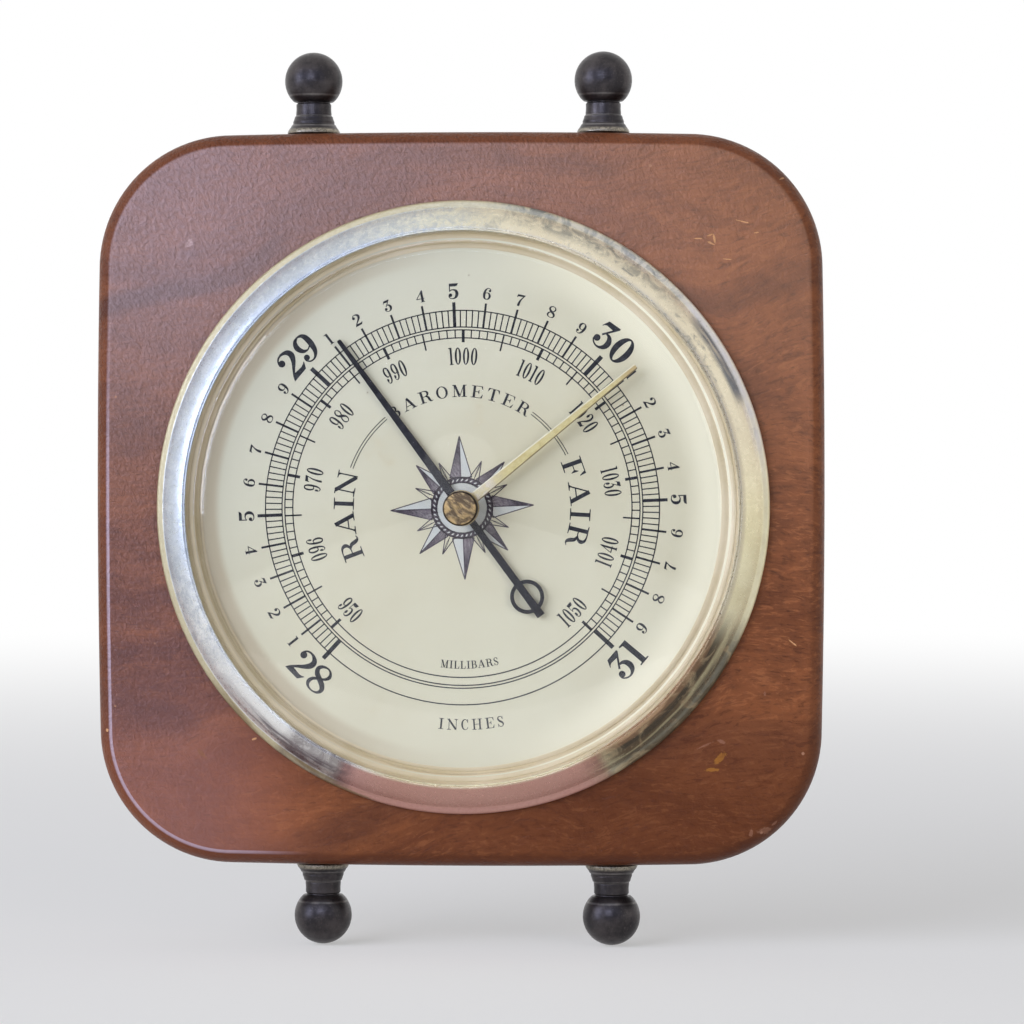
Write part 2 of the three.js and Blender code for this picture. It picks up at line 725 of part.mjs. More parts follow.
movementScrewPlaces.forEach(([x, z], index) => {
  addPiece(movement, `movement_screw_${index + 1}`, movementScrew(), steelSheet()).position.set(x, 0, z);
});

// Adjusting screw: turned from behind, it bears on the foot of the spring bridge and shifts the reading
const adjusterShoulder = canFloor - fitGap;
const adjuster = addPiece(movement, 'adjusting_screw', turned([
  [0, adjusterRecess], [adjusterHeadRadius - screwHeadRounding, adjusterRecess],
  [adjusterHeadRadius, adjusterRecess + screwHeadRounding], [adjusterHeadRadius, adjusterShoulder],
  [adjusterRadius, adjusterShoulder], [adjusterRadius, basePlateFront], [0, basePlateFront],
], smallSteps), brassSheet());
adjuster.position.x = springHeelX;

// Aneroid capsule: two corrugated discs joined at the rim, pumped out through the hollow stud behind
function capsule() {
  const waveSteps = 3 * capsuleWaveCount;
  const firstWave = capsuleStudRadius + capsuleCollarWidth;
  const lastWave = capsuleRadius - capsuleSeamWidth;
  const backDisc = [];
  for (let step = 0; step <= waveSteps; step += 1) {
    const along = step / waveSteps;
    const dip = capsuleWaveDepth * Math.sin(along * capsuleWaveCount * 2 * Math.PI);
    backDisc.push([firstWave + (lastWave - firstWave) * along, capsuleBack + capsuleWaveDepth + dip]);
  }
  const frontDisc = backDisc.map(([radius, forward]) => [radius, capsuleBack + capsuleFront - forward]);
  const insideBack = capsuleBack + 2 * capsuleWaveDepth + capsuleWall;
  const insideFront = capsuleFront - 2 * capsuleWaveDepth - capsuleWall;
  const insideRadius = capsuleRadius - capsuleWall;
  const studBack = canSheet + seatGap;
  return turned([
    [capsulePumpHoleRadius, studBack], [capsuleStudRadius, studBack], [capsuleStudRadius, capsuleBack],
    ...backDisc, [capsuleRadius, insideBack], [capsuleRadius, insideFront], ...frontDisc.reverse(),
    [capsuleStudRadius, capsuleFront], [0, capsuleFront], [0, insideFront], [insideRadius, insideFront],
    [insideRadius, insideBack], [capsulePumpHoleRadius, insideBack],
  ], capsuleSteps);
}

addPiece(movement, 'aneroid_capsule', capsule(), brassSheet());

// Capsule nut: in the pressed centre of the can, behind the base plate
const nutBack = canSheet + 2 * seatGap;
const nutShape = new THREE.Shape().absarc(0, 0, capsuleNutWidth / Math.sqrt(3), 0, 2 * Math.PI);
const nut = plate(nutShape, nutBack, basePlateBack - seatGap, 6);
const nutHole = rod(0, 0, capsuleStudRadius + seatGap, 0, basePlateBack + 1, capsuleSteps);
addPiece(movement, 'capsule_nut', pierced(nut, [nutHole]), brassSheet());

// Capsule post: rises from the capsule through the main spring, which its cross pin holds down
const postBack = capsuleFront + seatGap;
const halfPin = crossPinLength / 2;
addPiece(movement, 'capsule_post', united([
  rod(0, 0, capsulePostRadius, postBack, postTop),
  rod(0, 0, capsulePostRadius + capsulePostFoot, postBack, postBack + capsulePostFoot),
  crossRod(0, crossPinForward, crossPinRadius, -halfPin, halfPin, pinSteps),
]), brassSheet());

// Spring bridge: an angle block on the base plate that carries the heel of the main spring
const bridgeLeft = springHeelX - bridgeLength / 2;
const bridgeRight = springHeelX + bridgeLength / 2;
const bridgeFront = springBack - seatGap;
const bridgeFootFront = bridgeBack + bridgeFootThickness;
const clampScrewEnd = clampFront + seatGap - clampScrewDepth;
const clampHoleRadius = clampScrewRadius + fitGap;
const clampScrewHoles = rods(clampScrewPlaces, clampHoleRadius, clampScrewEnd - fitGap, clampFront + 1);
const bridgeBlock = crossPlate([
  [bridgeLeft, bridgeBack], [bridgeRight + bridgeFootLength, bridgeBack],
  [bridgeRight + bridgeFootLength, bridgeFootFront], [bridgeRight, bridgeFootFront],
  [bridgeRight, bridgeFront], [bridgeLeft, bridgeFront],
], -springWidth / 2, springWidth / 2);
addPiece(movement, 'spring_bridge', pierced(bridgeBlock, clampScrewHoles), brassSheet());

// Main spring: a tapered blade clamped at its heel, whose tip pulls on the capsule post
const springTip = new THREE.Shape().absarc(0, 0, springTipRadius, 0, 2 * Math.PI);
const springTaper = polygon([
  [0, -springTipRadius], [bridgeLeft - leverRootClearance, -springWidth / 2],
  [bridgeRight, -springWidth / 2], [bridgeRight, springWidth / 2],
  [bridgeLeft - leverRootClearance, springWidth / 2], [0, springTipRadius],
]);
const springBlade = united([springTip, springTaper].map((shape) => plate(shape, springBack, springFront)));
const postHole = rod(0, 0, capsulePostRadius + 2 * fitGap, springBack - 1, springFront + 1);
addPiece(movement, 'main_spring', pierced(springBlade, [postHole, ...clampScrewHoles]), springSteel());

// Spring clamp and its screws, on top of the spring's heel
const clampShape = rectangle(bridgeLeft, -springWidth / 2, bridgeRight, springWidth / 2);
const clampPlate = plate(clampShape, clampFront - clampThickness, clampFront);
addPiece(movement, 'spring_clamp', pierced(clampPlate, clampScrewHoles), brassSheet());

function clampScrew() {
  const seat = clampFront + seatGap;
  const top = seat + clampScrewHeadHeight;
  return turned([
    [0, clampScrewEnd], [clampScrewRadius, clampScrewEnd], [clampScrewRadius, seat],
    [clampScrewHeadRadius, seat], [clampScrewHeadRadius, top - screwHeadRounding],
    [clampScrewHeadRadius - screwHeadRounding, top], [0, top],
  ], pinSteps);
}

['clamp_screw_lower', 'clamp_screw_upper'].forEach((name, index) => {
  const [x, z] = clampScrewPlaces[index];
  addPiece(movement, name, clampScrew(), steelSheet()).position.set(x, 0, z);
});

// Main lever: riveted to the spring, it carries the capsule's movement to the link at its tip
function mainLever() {
  const rootRight = bridgeLeft - leverRootClearance;
  const rootLeft = rootRight - leverRootLength;
  const tip = leverTipX - leverTipMargin;
  const strip = plate(polygon([
    [rootRight, -leverLow], [rootRight, leverHigh], [tip, leverHigh], [tip, leverLow],
    [rootLeft - leverWidth, leverLow], [rootLeft, leverLow - leverWidth], [rootLeft, -leverLow],
  ]), leverBack, leverBack + leverThickness);
  const pinRoot = leverHigh - linkPinReach;
  const pin = crossRod(leverTipX, leverMiddle, linkPinRadius, pinRoot, linkTop + linkPinReach, pinSteps);
  return strip.add(pin);
}

addPiece(movement, 'main_lever', mainLever(), brassSheet());

// Connecting link: a strip with an eye at each end, between the lever's pin and the crank's pin
function connectingLink() {
  const [left, right] = [leverTipX - linkWidth / 2, leverTipX + linkWidth / 2];
  const strip = crossPlate([
    [left, rockerForward], [right, rockerForward], [right, leverMiddle], [left, leverMiddle],
  ], linkBottom, linkTop);
  const ends = [leverMiddle, rockerForward];
  const eyes = ends.map((forward) => crossRod(leverTipX, forward, linkEyeRadius, linkBottom, linkTop));
  const hole = linkPinRadius + fitGap;
  const holes = ends.map((forward) => crossRod(leverTipX, forward, hole, linkBottom - 1, linkTop + 1));
  return pierced(united([strip, ...eyes]), holes);
}

addPiece(movement, 'connecting_link', connectingLink(), brassSheet());

// Rocker bracket: two ears on one foot that carry the rocking shaft
function rockerBracket() {
  const footFront = bridgeBack + rockerFootThickness;
  const halfFoot = rockerFootWidth / 2;
  const foot = crossPlate([
    [rockerX - halfFoot, bridgeBack], [rockerX + halfFoot, bridgeBack], [rockerX + halfFoot, footFront],
    [rockerX - halfFoot, footFront],
  ], earBottom, earTop);
  const halfEar = rockerEarFootWidth / 2;
  const ears = [earBottom, earTop - rockerEarThickness].map((bottom) => {
    const top = bottom + rockerEarThickness;
    const blade = crossPlate([
      [rockerX - halfEar, bridgeBack], [rockerX + halfEar, bridgeBack],
      [rockerX + rockerEarTopRadius, rockerForward], [rockerX - rockerEarTopRadius, rockerForward],
    ], bottom, top);
    return blade.add(crossRod(rockerX, rockerForward, rockerEarTopRadius, bottom, top));
  });
  const holeRadius = rockerShaftRadius + runningGap;
  const shaftHole = crossRod(rockerX, rockerForward, holeRadius, earBottom - 1, earTop + 1);
  return pierced(united([foot, ...ears]), [shaftHole]);
}

addPiece(movement, 'rocker_bracket', rockerBracket(), brassSheet());

// Rocking shaft: the link turns its crank, and its long arm lets the chain in and out
function rockingShaft() {
  const [halfArm, halfTip] = [rockerArmWidth / 2, rockerArmTipWidth / 2];
  const pinRoot = crankTop - linkPinReach;
  const solids = [
    crossRod(rockerX, rockerForward, rockerShaftRadius, earBottom - linkPinReach, crankTop),
    crossRod(rockerX, rockerForward, crankHubRadius, crankBottom, crankTop, pinSteps),
    crossRod(leverTipX, rockerForward, crankEndRadius, crankBottom, crankTop, pinSteps),
    crossRod(leverTipX, rockerForward, linkPinRadius, pinRoot, linkTop + linkPinReach, pinSteps),
    crossRod(rockerX, rockerForward, rockerArmHubRadius, armBottom, armTop),
    crossPlate([
      [rockerX - halfArm, rockerForward], [rockerX + halfArm, rockerForward],
      [rockerX + halfTip, chainForward], [rockerX - halfTip, chainForward],
    ], armBottom, armTop),
    crossRod(rockerX, chainForward, rockerArmEyeRadius, armBottom, armTop),
  ];
  const hole = crossRod(rockerX, chainForward, rockerArmHoleRadius, armBottom - 1, armTop + 1);
  return pierced(united(solids), [hole]);
}

addPiece(movement, 'rocking_shaft', rockingShaft(), springSteel());

// Chain: flat links in a row from the rocking arm's pin to the drum of the pointer arbor
function chain() {
  const start = rockerX - 2 * chainPinRadius;
  const count = Math.round((chainOverrun - start) / chainLinkLength);
  const pitch = (chainOverrun - start) / count;
  const links = [];
  for (let link = 0; link < count; link += 1) {
    const halfHeight = link % 2 === 0 ? chainThickness : chainThickness * 0.6;
    const left = start + link * pitch - (link > 0 ? chainLinkOverlap : 0);
    const right = start + (link + 1) * pitch;
    links.push(crossPlate([
      [left, chainForward - halfHeight], [right, chainForward - halfHeight],
      [right, chainForward + halfHeight], [left, chainForward + halfHeight],
    ], chainZ - chainThickness / 2, chainZ + chainThickness / 2));
  }
  links.push(crossRod(rockerX, chainForward, chainPinRadius, chainZ, armTop + chainArmGap, pinSteps));
  return united(links);
}

addPiece(movement, 'chain', chain(), springSteel());

// Arbor bridge: a strap across two pillars, with a yoke behind it for the arbor's lower pivot
function arborBridge() {
  const halfStrap = arborBridgeWidth / 2;
  const halfYoke = yokeWidth / 2;
  const halfLeg = yokeLegWidth / 2;
  const strap = rectangle(-halfStrap, -pillarZ, halfStrap, pillarZ);
  const pillarPlaces = [[0, -pillarZ], [0, pillarZ]];
  const solids = [
    plate(strap, arborBridgeBack, arborBridgeFront),
    ...rods(pillarPlaces, halfStrap, arborBridgeBack, arborBridgeFront, smallSteps),
    plate(rectangle(-halfLeg, -halfYoke, halfLeg, halfYoke), yokeBack, yokeFront),
    plate(rectangle(-halfLeg, -halfYoke, halfLeg, yokeSheet - halfYoke), yokeBack, arborBridgeFront),
    plate(rectangle(-halfLeg, halfYoke - yokeSheet, halfLeg, halfYoke), yokeBack, arborBridgeFront),
  ];
  return pierced(united(solids), [
    rod(0, 0, drumRadius + runningGap, arborBridgeBack - 1, arborBridgeFront + 1),
    rod(0, 0, pivotRadius + runningGap, yokeBack - 1, arborBridgeBack - 1),
    ...rods(pillarPlaces, pillarTipRadius + fitGap, arborBridgeBack - 1, arborBridgeFront + 1),
  ]);
}

addPiece(movement, 'arbor_bridge', arborBridge(), brassSheet());

// Pillars between the base plate and the arbor bridge, with shouldered tips through the strap
function pillar() {
  const foot = basePlateFront + seatGap;
  const shoulder = arborBridgeBack - seatGap;
  const waist = pillarRadius - pillarWaist;
  const tip = arborBridgeFront + pillarTipHeight;
  return turned([
    [0, foot], [pillarRadius, foot], [pillarRadius, foot + 2 * pillarWaist], [waist, foot + 3 * pillarWaist],
    [waist, shoulder - 3 * pillarWaist], [pillarRadius, shoulder - 2 * pillarWaist],
    [pillarRadius, shoulder], [pillarTipRadius, shoulder], [pillarTipRadius, tip], [0, tip],
  ], pinSteps);
}

for (const [name, side] of [['pillar_lower', -1], ['pillar_upper', 1]]) {
  addPiece(movement, name, pillar(), brassSheet()).position.z = side * pillarZ;
}

// Hairspring: a flat spiral round the arbor's collet, whose outer end is held by a stud on the bridge
class Spiral extends THREE.Curve {
  getPoint(along) {
    const radius = hairspringInnerRadius + (hairspringOuterRadius - hairspringInnerRadius) * along;
    const [x, z] = onCircle(radius, RIGHT_ANGLE + (along - 1) * hairspringTurns * 2 * Math.PI);
    return new THREE.Vector3(x, -(colletBack + colletHeight / 2), z);
  }
}

const stripHalf = hairspringStrip / 2;
const stepsPerTurn = 12;
const hairspring = new THREE.ExtrudeGeometry(rectangle(-stripHalf, -stripHalf, stripHalf, stripHalf), {
  steps: stepsPerTurn * hairspringTurns,
  extrudePath: new Spiral(),
  bevelEnabled: false,
});
addPiece(movement, 'hairspring', solidOf(hairspring), springSteel());

const studZ = hairspringOuterRadius + stripHalf + seatGap + hairspringStudRadius;
const studBack = arborBridgeFront + seatGap;
const hairspringStud = rod(0, studZ, hairspringStudRadius, studBack, colletBack + colletHeight, pinSteps);
addPiece(movement, 'hairspring_stud', hairspringStud, brassSheet());

// Pointer arbor: lower pivot, drum for the chain, hairspring collet and the seat of the pointer
addPiece(pointer, 'pointer_arbor', turned([
  [0, yokeBack - runningGap], [pivotRadius, yokeBack - runningGap], [pivotRadius, yokeFront + runningGap],
  [drumRadius, yokeFront + runningGap], [drumRadius, colletBack], [colletRadius, colletBack],
  [colletRadius, colletBack + colletHeight], [drumRadius, colletBack + colletHeight],
  [drumRadius, arborFront], [0, arborFront],
], smallSteps), springSteel());

// Pointer: a sheet blade with a ring counterweight that its tail runs through
function pointerHand() {
  const [halfRoot, halfTip] = [pointerRootWidth / 2, pointerTipWidth / 2];
  const [halfTail, halfEnd] = [pointerTailWidth / 2, pointerTailEndWidth / 2];
  const tailEnd = pointerRingDistance + pointerTailReach;
  const blade = plate(polygon([
    [-halfTip, pointerLength], [-halfRoot, pointerHubRadius], [-halfTail, -pointerHubRadius],
    [-halfTail, -pointerRingDistance], [-halfEnd, -tailEnd], [halfEnd, -tailEnd],
    [halfTail, -pointerRingDistance], [halfTail, -pointerHubRadius], [halfRoot, pointerHubRadius],
    [halfTip, pointerLength],
  ]), pointerBack, pointerFront);
  const ringHoleRadius = pointerRingRadius - pointerRingStroke;
  const ring = rod(0, -pointerRingDistance, pointerRingRadius, pointerBack, pointerFront);
  const ringHole = rod(0, -pointerRingDistance, ringHoleRadius, pointerBack - 1, pointerFront + 1);
  const hub = rod(0, 0, pointerHubRadius, pointerBack, pointerFront);
  const bossBack = pointerBack - pointerBossHeight;
  const boss = rod(0, 0, pointerBossRadius, bossBack, pointerFront + pointerBossHeight);
  const arborHole = rod(0, 0, drumRadius + seatGap, pointerBack - 1, pointerFront + 1);
  return pierced(united([blade, ring.subtract(ringHole), hub, boss]), [arborHole]);
}

addPiece(pointer, 'pointer_hand', pointerHand(), blackEnamel());

// Set hand: a brass blade on the knob's stem, moved by hand to mark the last reading
function setHand() {
  const [halfRoot, halfTip] = [setHandRootWidth / 2, setHandTipWidth / 2];
  const blade = plate(polygon([
    [-halfTip / 2, setHandLength], [-halfTip, setHandLength - halfTip / 2],
    [-halfRoot, setHandHubRadius / 2], [halfRoot, setHandHubRadius / 2],
    [halfTip, setHandLength - halfTip / 2], [halfTip / 2, setHandLength],
  ]), setHandBack, setHandFront);
  const hub = rod(0, 0, setHandHubRadius, setHandBack, setHandFront, capsuleSteps);
  const stemHole = rod(0, 0, knobStemRadius + seatGap, setHandBack - 1, setHandFront + 1);
  return pierced(blade.add(hub), [stemHole]);
}

addPiece(setter, 'set_hand', setHand(), paleBrass());

// Friction washer: a shallow dished ring between the set hand and the lens
function frictionWasher() {
  const inner = knobStemRadius + fitGap;
  const outer = setHandHubRadius - 2 * fitGap;
  return turned([
    [inner, washerBack + washerHeight - washerSheet], [outer, washerBack], [outer, washerBack + washerSheet],
    [inner, washerBack + washerHeight],
  ], smallSteps);
}

addPiece(setter, 'friction_washer', frictionWasher(), springSteel());

// Setting knob: a turned button in front of the lens, with a stem through it riveted behind the set hand
function setKnob() {
  const knobBack = lensFront + fitGap;
  const knobFront = knobBack + knobHeight;
  return turned([
    [0, rivetFront - knobRivetHeight], [knobRivetRadius, rivetFront - knobRivetHeight],
    [knobRivetRadius, rivetFront], [knobStemRadius, rivetFront], [knobStemRadius, knobBack],
    [knobRadius, knobBack], [knobRadius, knobFront - knobRounding], [knobRadius - knobRounding, knobFront],
    [0, knobFront],
  ], capsuleSteps);
}

addPiece(setter, 'set_knob', setKnob(), tarnishedBrass());

export default station;
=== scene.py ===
import math

import bmesh
import bpy
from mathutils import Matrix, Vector, geometry


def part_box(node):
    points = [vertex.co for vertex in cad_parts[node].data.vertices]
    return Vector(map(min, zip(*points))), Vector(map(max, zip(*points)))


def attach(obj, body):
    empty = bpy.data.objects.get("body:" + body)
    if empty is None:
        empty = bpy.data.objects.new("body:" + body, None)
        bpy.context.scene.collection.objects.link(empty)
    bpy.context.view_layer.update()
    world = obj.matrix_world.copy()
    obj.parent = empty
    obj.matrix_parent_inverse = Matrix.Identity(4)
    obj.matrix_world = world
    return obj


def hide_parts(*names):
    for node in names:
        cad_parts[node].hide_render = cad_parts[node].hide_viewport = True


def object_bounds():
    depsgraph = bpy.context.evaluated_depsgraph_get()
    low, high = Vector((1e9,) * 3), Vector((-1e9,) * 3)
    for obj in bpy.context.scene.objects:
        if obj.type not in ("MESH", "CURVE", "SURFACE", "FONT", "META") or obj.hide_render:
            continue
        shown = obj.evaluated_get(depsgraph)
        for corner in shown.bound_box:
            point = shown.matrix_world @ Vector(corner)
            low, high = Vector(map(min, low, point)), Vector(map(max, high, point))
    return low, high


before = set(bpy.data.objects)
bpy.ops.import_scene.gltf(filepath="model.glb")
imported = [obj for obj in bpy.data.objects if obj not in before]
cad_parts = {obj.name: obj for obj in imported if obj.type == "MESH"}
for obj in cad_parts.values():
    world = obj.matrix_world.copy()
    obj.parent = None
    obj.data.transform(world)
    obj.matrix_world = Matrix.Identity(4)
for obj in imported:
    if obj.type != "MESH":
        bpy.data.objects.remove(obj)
cad_low, cad_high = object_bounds()
MM = 0.001

# View. The camera looks at the barometer from straight in front, a little above and right of its middle,
# from arm's length, as for a picture of a wall instrument.
CAMERA_PLACE = (0.04371, -0.8, 0.01568)
CAMERA_DIP, CAMERA_TURN = 1.215, 2.449
camera = bpy.data.objects.new("camera", bpy.data.cameras.new("camera"))
bpy.context.collection.objects.link(camera)
camera.location = CAMERA_PLACE
camera.rotation_euler = (math.radians(90 - CAMERA_DIP), 0, math.radians(CAMERA_TURN))
camera.data.lens = 131.99
camera.data.sensor_width = 36
camera.data.clip_start = 0.05
bpy.context.scene.camera = camera
bpy.context.scene.view_settings.view_transform = "Standard"


# Studio. A pale paper floor just under the lowest finials, a white surround, one soft window lamp at the
# left and a weaker warm one at the right. A panel behind the camera, which only gloss and glass show, is
# dark in its middle, with a wide bluish skylight above and the window's glow at the left.
PAPER_GAP, PAPER_REACH = 0.0002, 9
PAPER_WHITE_FROM, PAPER_WHITE_AT = 0.15, 1.3
PANEL_Y = -1.3
PANEL_LEFT, PANEL_RIGHT, PANEL_BOTTOM, PANEL_TOP = -3.6, 1.3, -1.1, 1.5
SKYLIGHT_GLOW, WINDOW_GLOW = 9.0, 5.5


def colour(red, green, blue):
    """Linear colour for the 0 to 255 numbers that a colour picker shows."""
    parts = [value / 255 for value in (red, green, blue)]
    return tuple(p / 12.92 if p <= 0.04045 else ((p + 0.055) / 1.055) ** 2.4 for p in parts) + (1.0,)


def put(tree, kind, inputs=None, **settings):
    """Adds a node. An input that is a socket or a measure is linked, and any other is set on the socket."""
    node = tree.nodes.new("ShaderNode" + kind)
    for setting, value in settings.items():
        setattr(node, setting, value)
    for key, value in (inputs or {}).items():
        value = getattr(value, "socket", value)
        if isinstance(value, bpy.types.NodeSocket):
            tree.links.new(value, node.inputs[key])
        else:
            node.inputs[key].default_value = value
    return node


class Measure:
    """A number, colour or place that is worked out at each point. Sums with it add nodes to its tree."""

    def __init__(self, socket):
        self.socket = socket

    def into(self, kind, inputs, output=0, **settings):
        return Measure(put(self.socket.id_data, kind, inputs, **settings).outputs[output])

    def calc(self, operation, other=0.0):
        return self.into("Math", {0: self, 1: other}, operation=operation)

    def __add__(self, other):
        return self.calc("ADD", other)

    def __sub__(self, other):
        return self.calc("SUBTRACT", other)

    def __rsub__(self, other):
        return self.into("Math", {0: other, 1: self}, operation="SUBTRACT")

    def __mul__(self, other):
        return self.calc("MULTIPLY", other)

    def __abs__(self):
        return self.calc("ABSOLUTE")

    def vector(self, operation, other=(0, 0, 0), output="Vector"):
        return self.into("VectorMath", {0: self, 1: other}, output, operation=operation)

    def span(self, low, high, to_low=0.0, to_high=1.0):
        """Eases the values between low and high over another range, and holds those outside it."""
        return self.into("MapRange", {"Value": self, "From Min": low, "From Max": high, "To Min": to_low,
                                      "To Max": to_high}, "Result", interpolation_type="SMOOTHSTEP")


def seen_directly(tree):
    """1 for what the camera sees straight, in a mirror or through glass, and 0 for what only lights."""
    path = put(tree, "LightPath").outputs
    camera_or_gloss = Measure(path["Is Camera Ray"]).calc("MAXIMUM", path["Is Glossy Ray"])
    return camera_or_gloss.calc("MAXIMUM", path["Is Transmission Ray"])


world = bpy.data.worlds.new("surround")
bpy.context.scene.world = world
world.use_nodes = True
tree = world.node_tree
tree.nodes.clear()
white = put(tree, "Background", {"Color": (1, 1, 1, 1), "Strength": 1.0})
room = put(tree, "Background", {"Color": colour(240, 240, 244), "Strength": 0.3})
both = put(tree, "MixShader", {0: seen_directly(tree), 1: room.outputs[0], 2: white.outputs[0]})
put(tree, "OutputWorld", {"Surface": both.outputs[0]})


def stage_sheet(name, corners):
    """A flat four-cornered sheet that belongs to the studio, its node tree and its coordinates."""
    mesh = bpy.data.meshes.new(name)
    mesh.from_pydata(corners, [], [(0, 1, 2, 3)])
    sheet = bpy.data.objects.new(name, mesh)
    bpy.context.collection.objects.link(sheet)
    material = bpy.data.materials.new(name)
    material.use_nodes = True
    material.node_tree.nodes.clear()
    mesh.materials.append(material)
    return sheet, material.node_tree, Measure(put(material.node_tree, "TexCoord").outputs["Object"])


floor_height = cad_low.z - PAPER_GAP
_, tree, place = stage_sheet("paper_floor", [
    (x * PAPER_REACH, y * PAPER_REACH, floor_height) for x, y in ((-1, -1), (1, -1), (1, 1), (-1, 1))])
fade = place.vector("DISTANCE", (0, 0, 0), "Value").span(PAPER_WHITE_FROM, PAPER_WHITE_AT, 0.4, 1.0)
paper = put(tree, "BsdfDiffuse", {"Color": colour(238, 238, 238)})
glow = put(tree, "Emission", {"Color": (1, 1, 1, 1), "Strength": 1.0})
both = put(tree, "MixShader", {0: seen_directly(tree) * fade, 1: paper.outputs[0], 2: glow.outputs[0]})
put(tree, "OutputMaterial", {"Surface": both.outputs[0]})

room_panel, tree, place = stage_sheet("room_panel", [
    (x, PANEL_Y, z) for x, z in ((PANEL_LEFT, PANEL_BOTTOM), (PANEL_LEFT, PANEL_TOP), (PANEL_RIGHT, PANEL_TOP),
                                 (PANEL_RIGHT, PANEL_BOTTOM))])
room_panel.visible_camera = room_panel.visible_diffuse = room_panel.visible_shadow = False


def from_spot(x, z, flatten_x, flatten_z):
    """Distance on the panel from a spot, with its own scale across and up."""
    moved = place.vector("SUBTRACT", (x, PANEL_Y, z))
    return moved.vector("MULTIPLY", (flatten_x, 1, flatten_z)).vector("LENGTH", output="Value")


dim = from_spot(0, 0, 1, 1).span(0.4, 1.0, 0.05, 0.9)
skylight = from_spot(-0.22, 0.47, 0.55, 1).span(0.24, 0.14, 0.0, SKYLIGHT_GLOW)
window = from_spot(-2.35, 0.45, 1, 0.7).span(1.05, 0.75, 0.0, WINDOW_GLOW)
sky = put(tree, "Emission", {"Color": colour(214, 224, 255), "Strength": skylight + window + dim})
put(tree, "OutputMaterial", {"Surface": sky.outputs[0]})


def soft_lamp(name, place, width, height, watts, tint):
    """A rectangular lamp that faces the object."""
    data = bpy.data.lights.new(name, "AREA")
    data.shape = "RECTANGLE"
    data.size, data.size_y = width, height
    data.energy = watts
    data.color = tint[:3]
    lamp = bpy.data.objects.new(name, data)
    lamp.location = place
    lamp.rotation_euler = (-Vector(place)).to_track_quat("-Z", "Y").to_euler()
    lamp.visible_glossy = False
    bpy.context.collection.objects.link(lamp)


soft_lamp("window_lamp", (-1.6, -1.3, 0.45), width=2.2, height=2.0, watts=67, tint=colour(240, 243, 255))
soft_lamp("fill_lamp", (1.4, -1.5, 0.2), width=1.0, height=1.2, watts=9, tint=colour(255, 244, 228))


# Plaque. A square of 19 mm stock with round corners, sanded round at its front edge, stained red-brown
# and lacquered, then bored for the can and routed behind for the hanger. Its face has small chips and
# scuffs from use. All sizes from here on are in millimetres, and "forward" is towards the viewer.
plaque_low, plaque_high = (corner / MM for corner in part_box("plaque"))
PLAQUE_X = (plaque_low.x + plaque_high.x) / 2
PLAQUE_Z = (plaque_low.z + plaque_high.z) / 2
PLAQUE_THICKNESS = -plaque_low.y
CORNER_RADIUS = 28
SIDE_BOW = 0.5
FRONT_ROUNDING = 2.75
ROUNDING_END = 72
BACK_EASING = 0.6
BORE_RADIUS = 54.5
RECESS_MARGIN = 2
RECESS_DEPTH = 2.6
STREAK_FADE = 9
CHIP_REACH = 2.5

# (height at the middle, slope, half width, darkness, from x, to x)
DARK_STREAKS = [(66.6, 0.33, 4.2, 0.85, -74, -42), (46.2, 0.0, 3.6, 0.5, 46, 74),
                (-56, -0.18, 4.5, 0.5, -74, -60), (-56.5, 0.34, 5.0, 0.4, -46, -12),
                (-48, -0.03, 7, 0.25, 40, 74), (70, 0.0, 4, 0.3, -20, 30)]

# (x, z, half length, half width, tilt, colour)
BARE_WOOD, SCUFFED, PALE_SCRATCH, BRUISED = (150, 98, 38), (136, 92, 70), (204, 154, 108), (186, 160, 162)
CHIPS = [(53.6, -52.2, 1.9, 0.9, 48, BARE_WOOD), (52.0, -54.5, 1.7, 0.5, 4, BARE_WOOD),
         (50.6, -49.4, 2.2, 0.22, 24, SCUFFED), (53.9, -48.6, 0.9, 0.35, -20, SCUFFED),
         (63.2, -67.2, 1.9, 0.9, 14, SCUFFED), (60.1, -67.6, 0.5, 0.9, -10, SCUFFED),
         (65.0, -65.6, 1.0, 0.3, 40, SCUFFED), (52.3, 55.9, 0.25, 1.2, 12, PALE_SCRATCH),
         (51.5, 55.0, 0.9, 0.2, -24, PALE_SCRATCH), (51.4, 56.6, 0.7, 0.2, 20, PALE_SCRATCH),
         (48.9, 55.9, 1.3, 0.14, 0, PALE_SCRATCH), (57.8, 59.5, 1.7, 0.15, -14, PALE_SCRATCH),
         (61.1, 57.1, 0.6, 0.18, 8, PALE_SCRATCH), (55, 51.6, 1.4, 0.13, -4, PALE_SCRATCH),
         (66.5, 68.4, 0.8, 0.22, 20, PALE_SCRATCH), (68.5, -27.9, 1.3, 0.2, -40, PALE_SCRATCH),
         (62.9, -38.6, 0.3, 0.5, 0, SCUFFED), (-57.1, 55.1, 1.3, 0.8, 60, BRUISED),
         (-54.7, -51.5, 1.6, 0.45, -45, SCUFFED), (-74.6, -46.8, 0.35, 0.5, 0, PALE_SCRATCH),
         (-43.6, -48.4, 0.6, 0.25, 20, PALE_SCRATCH)]


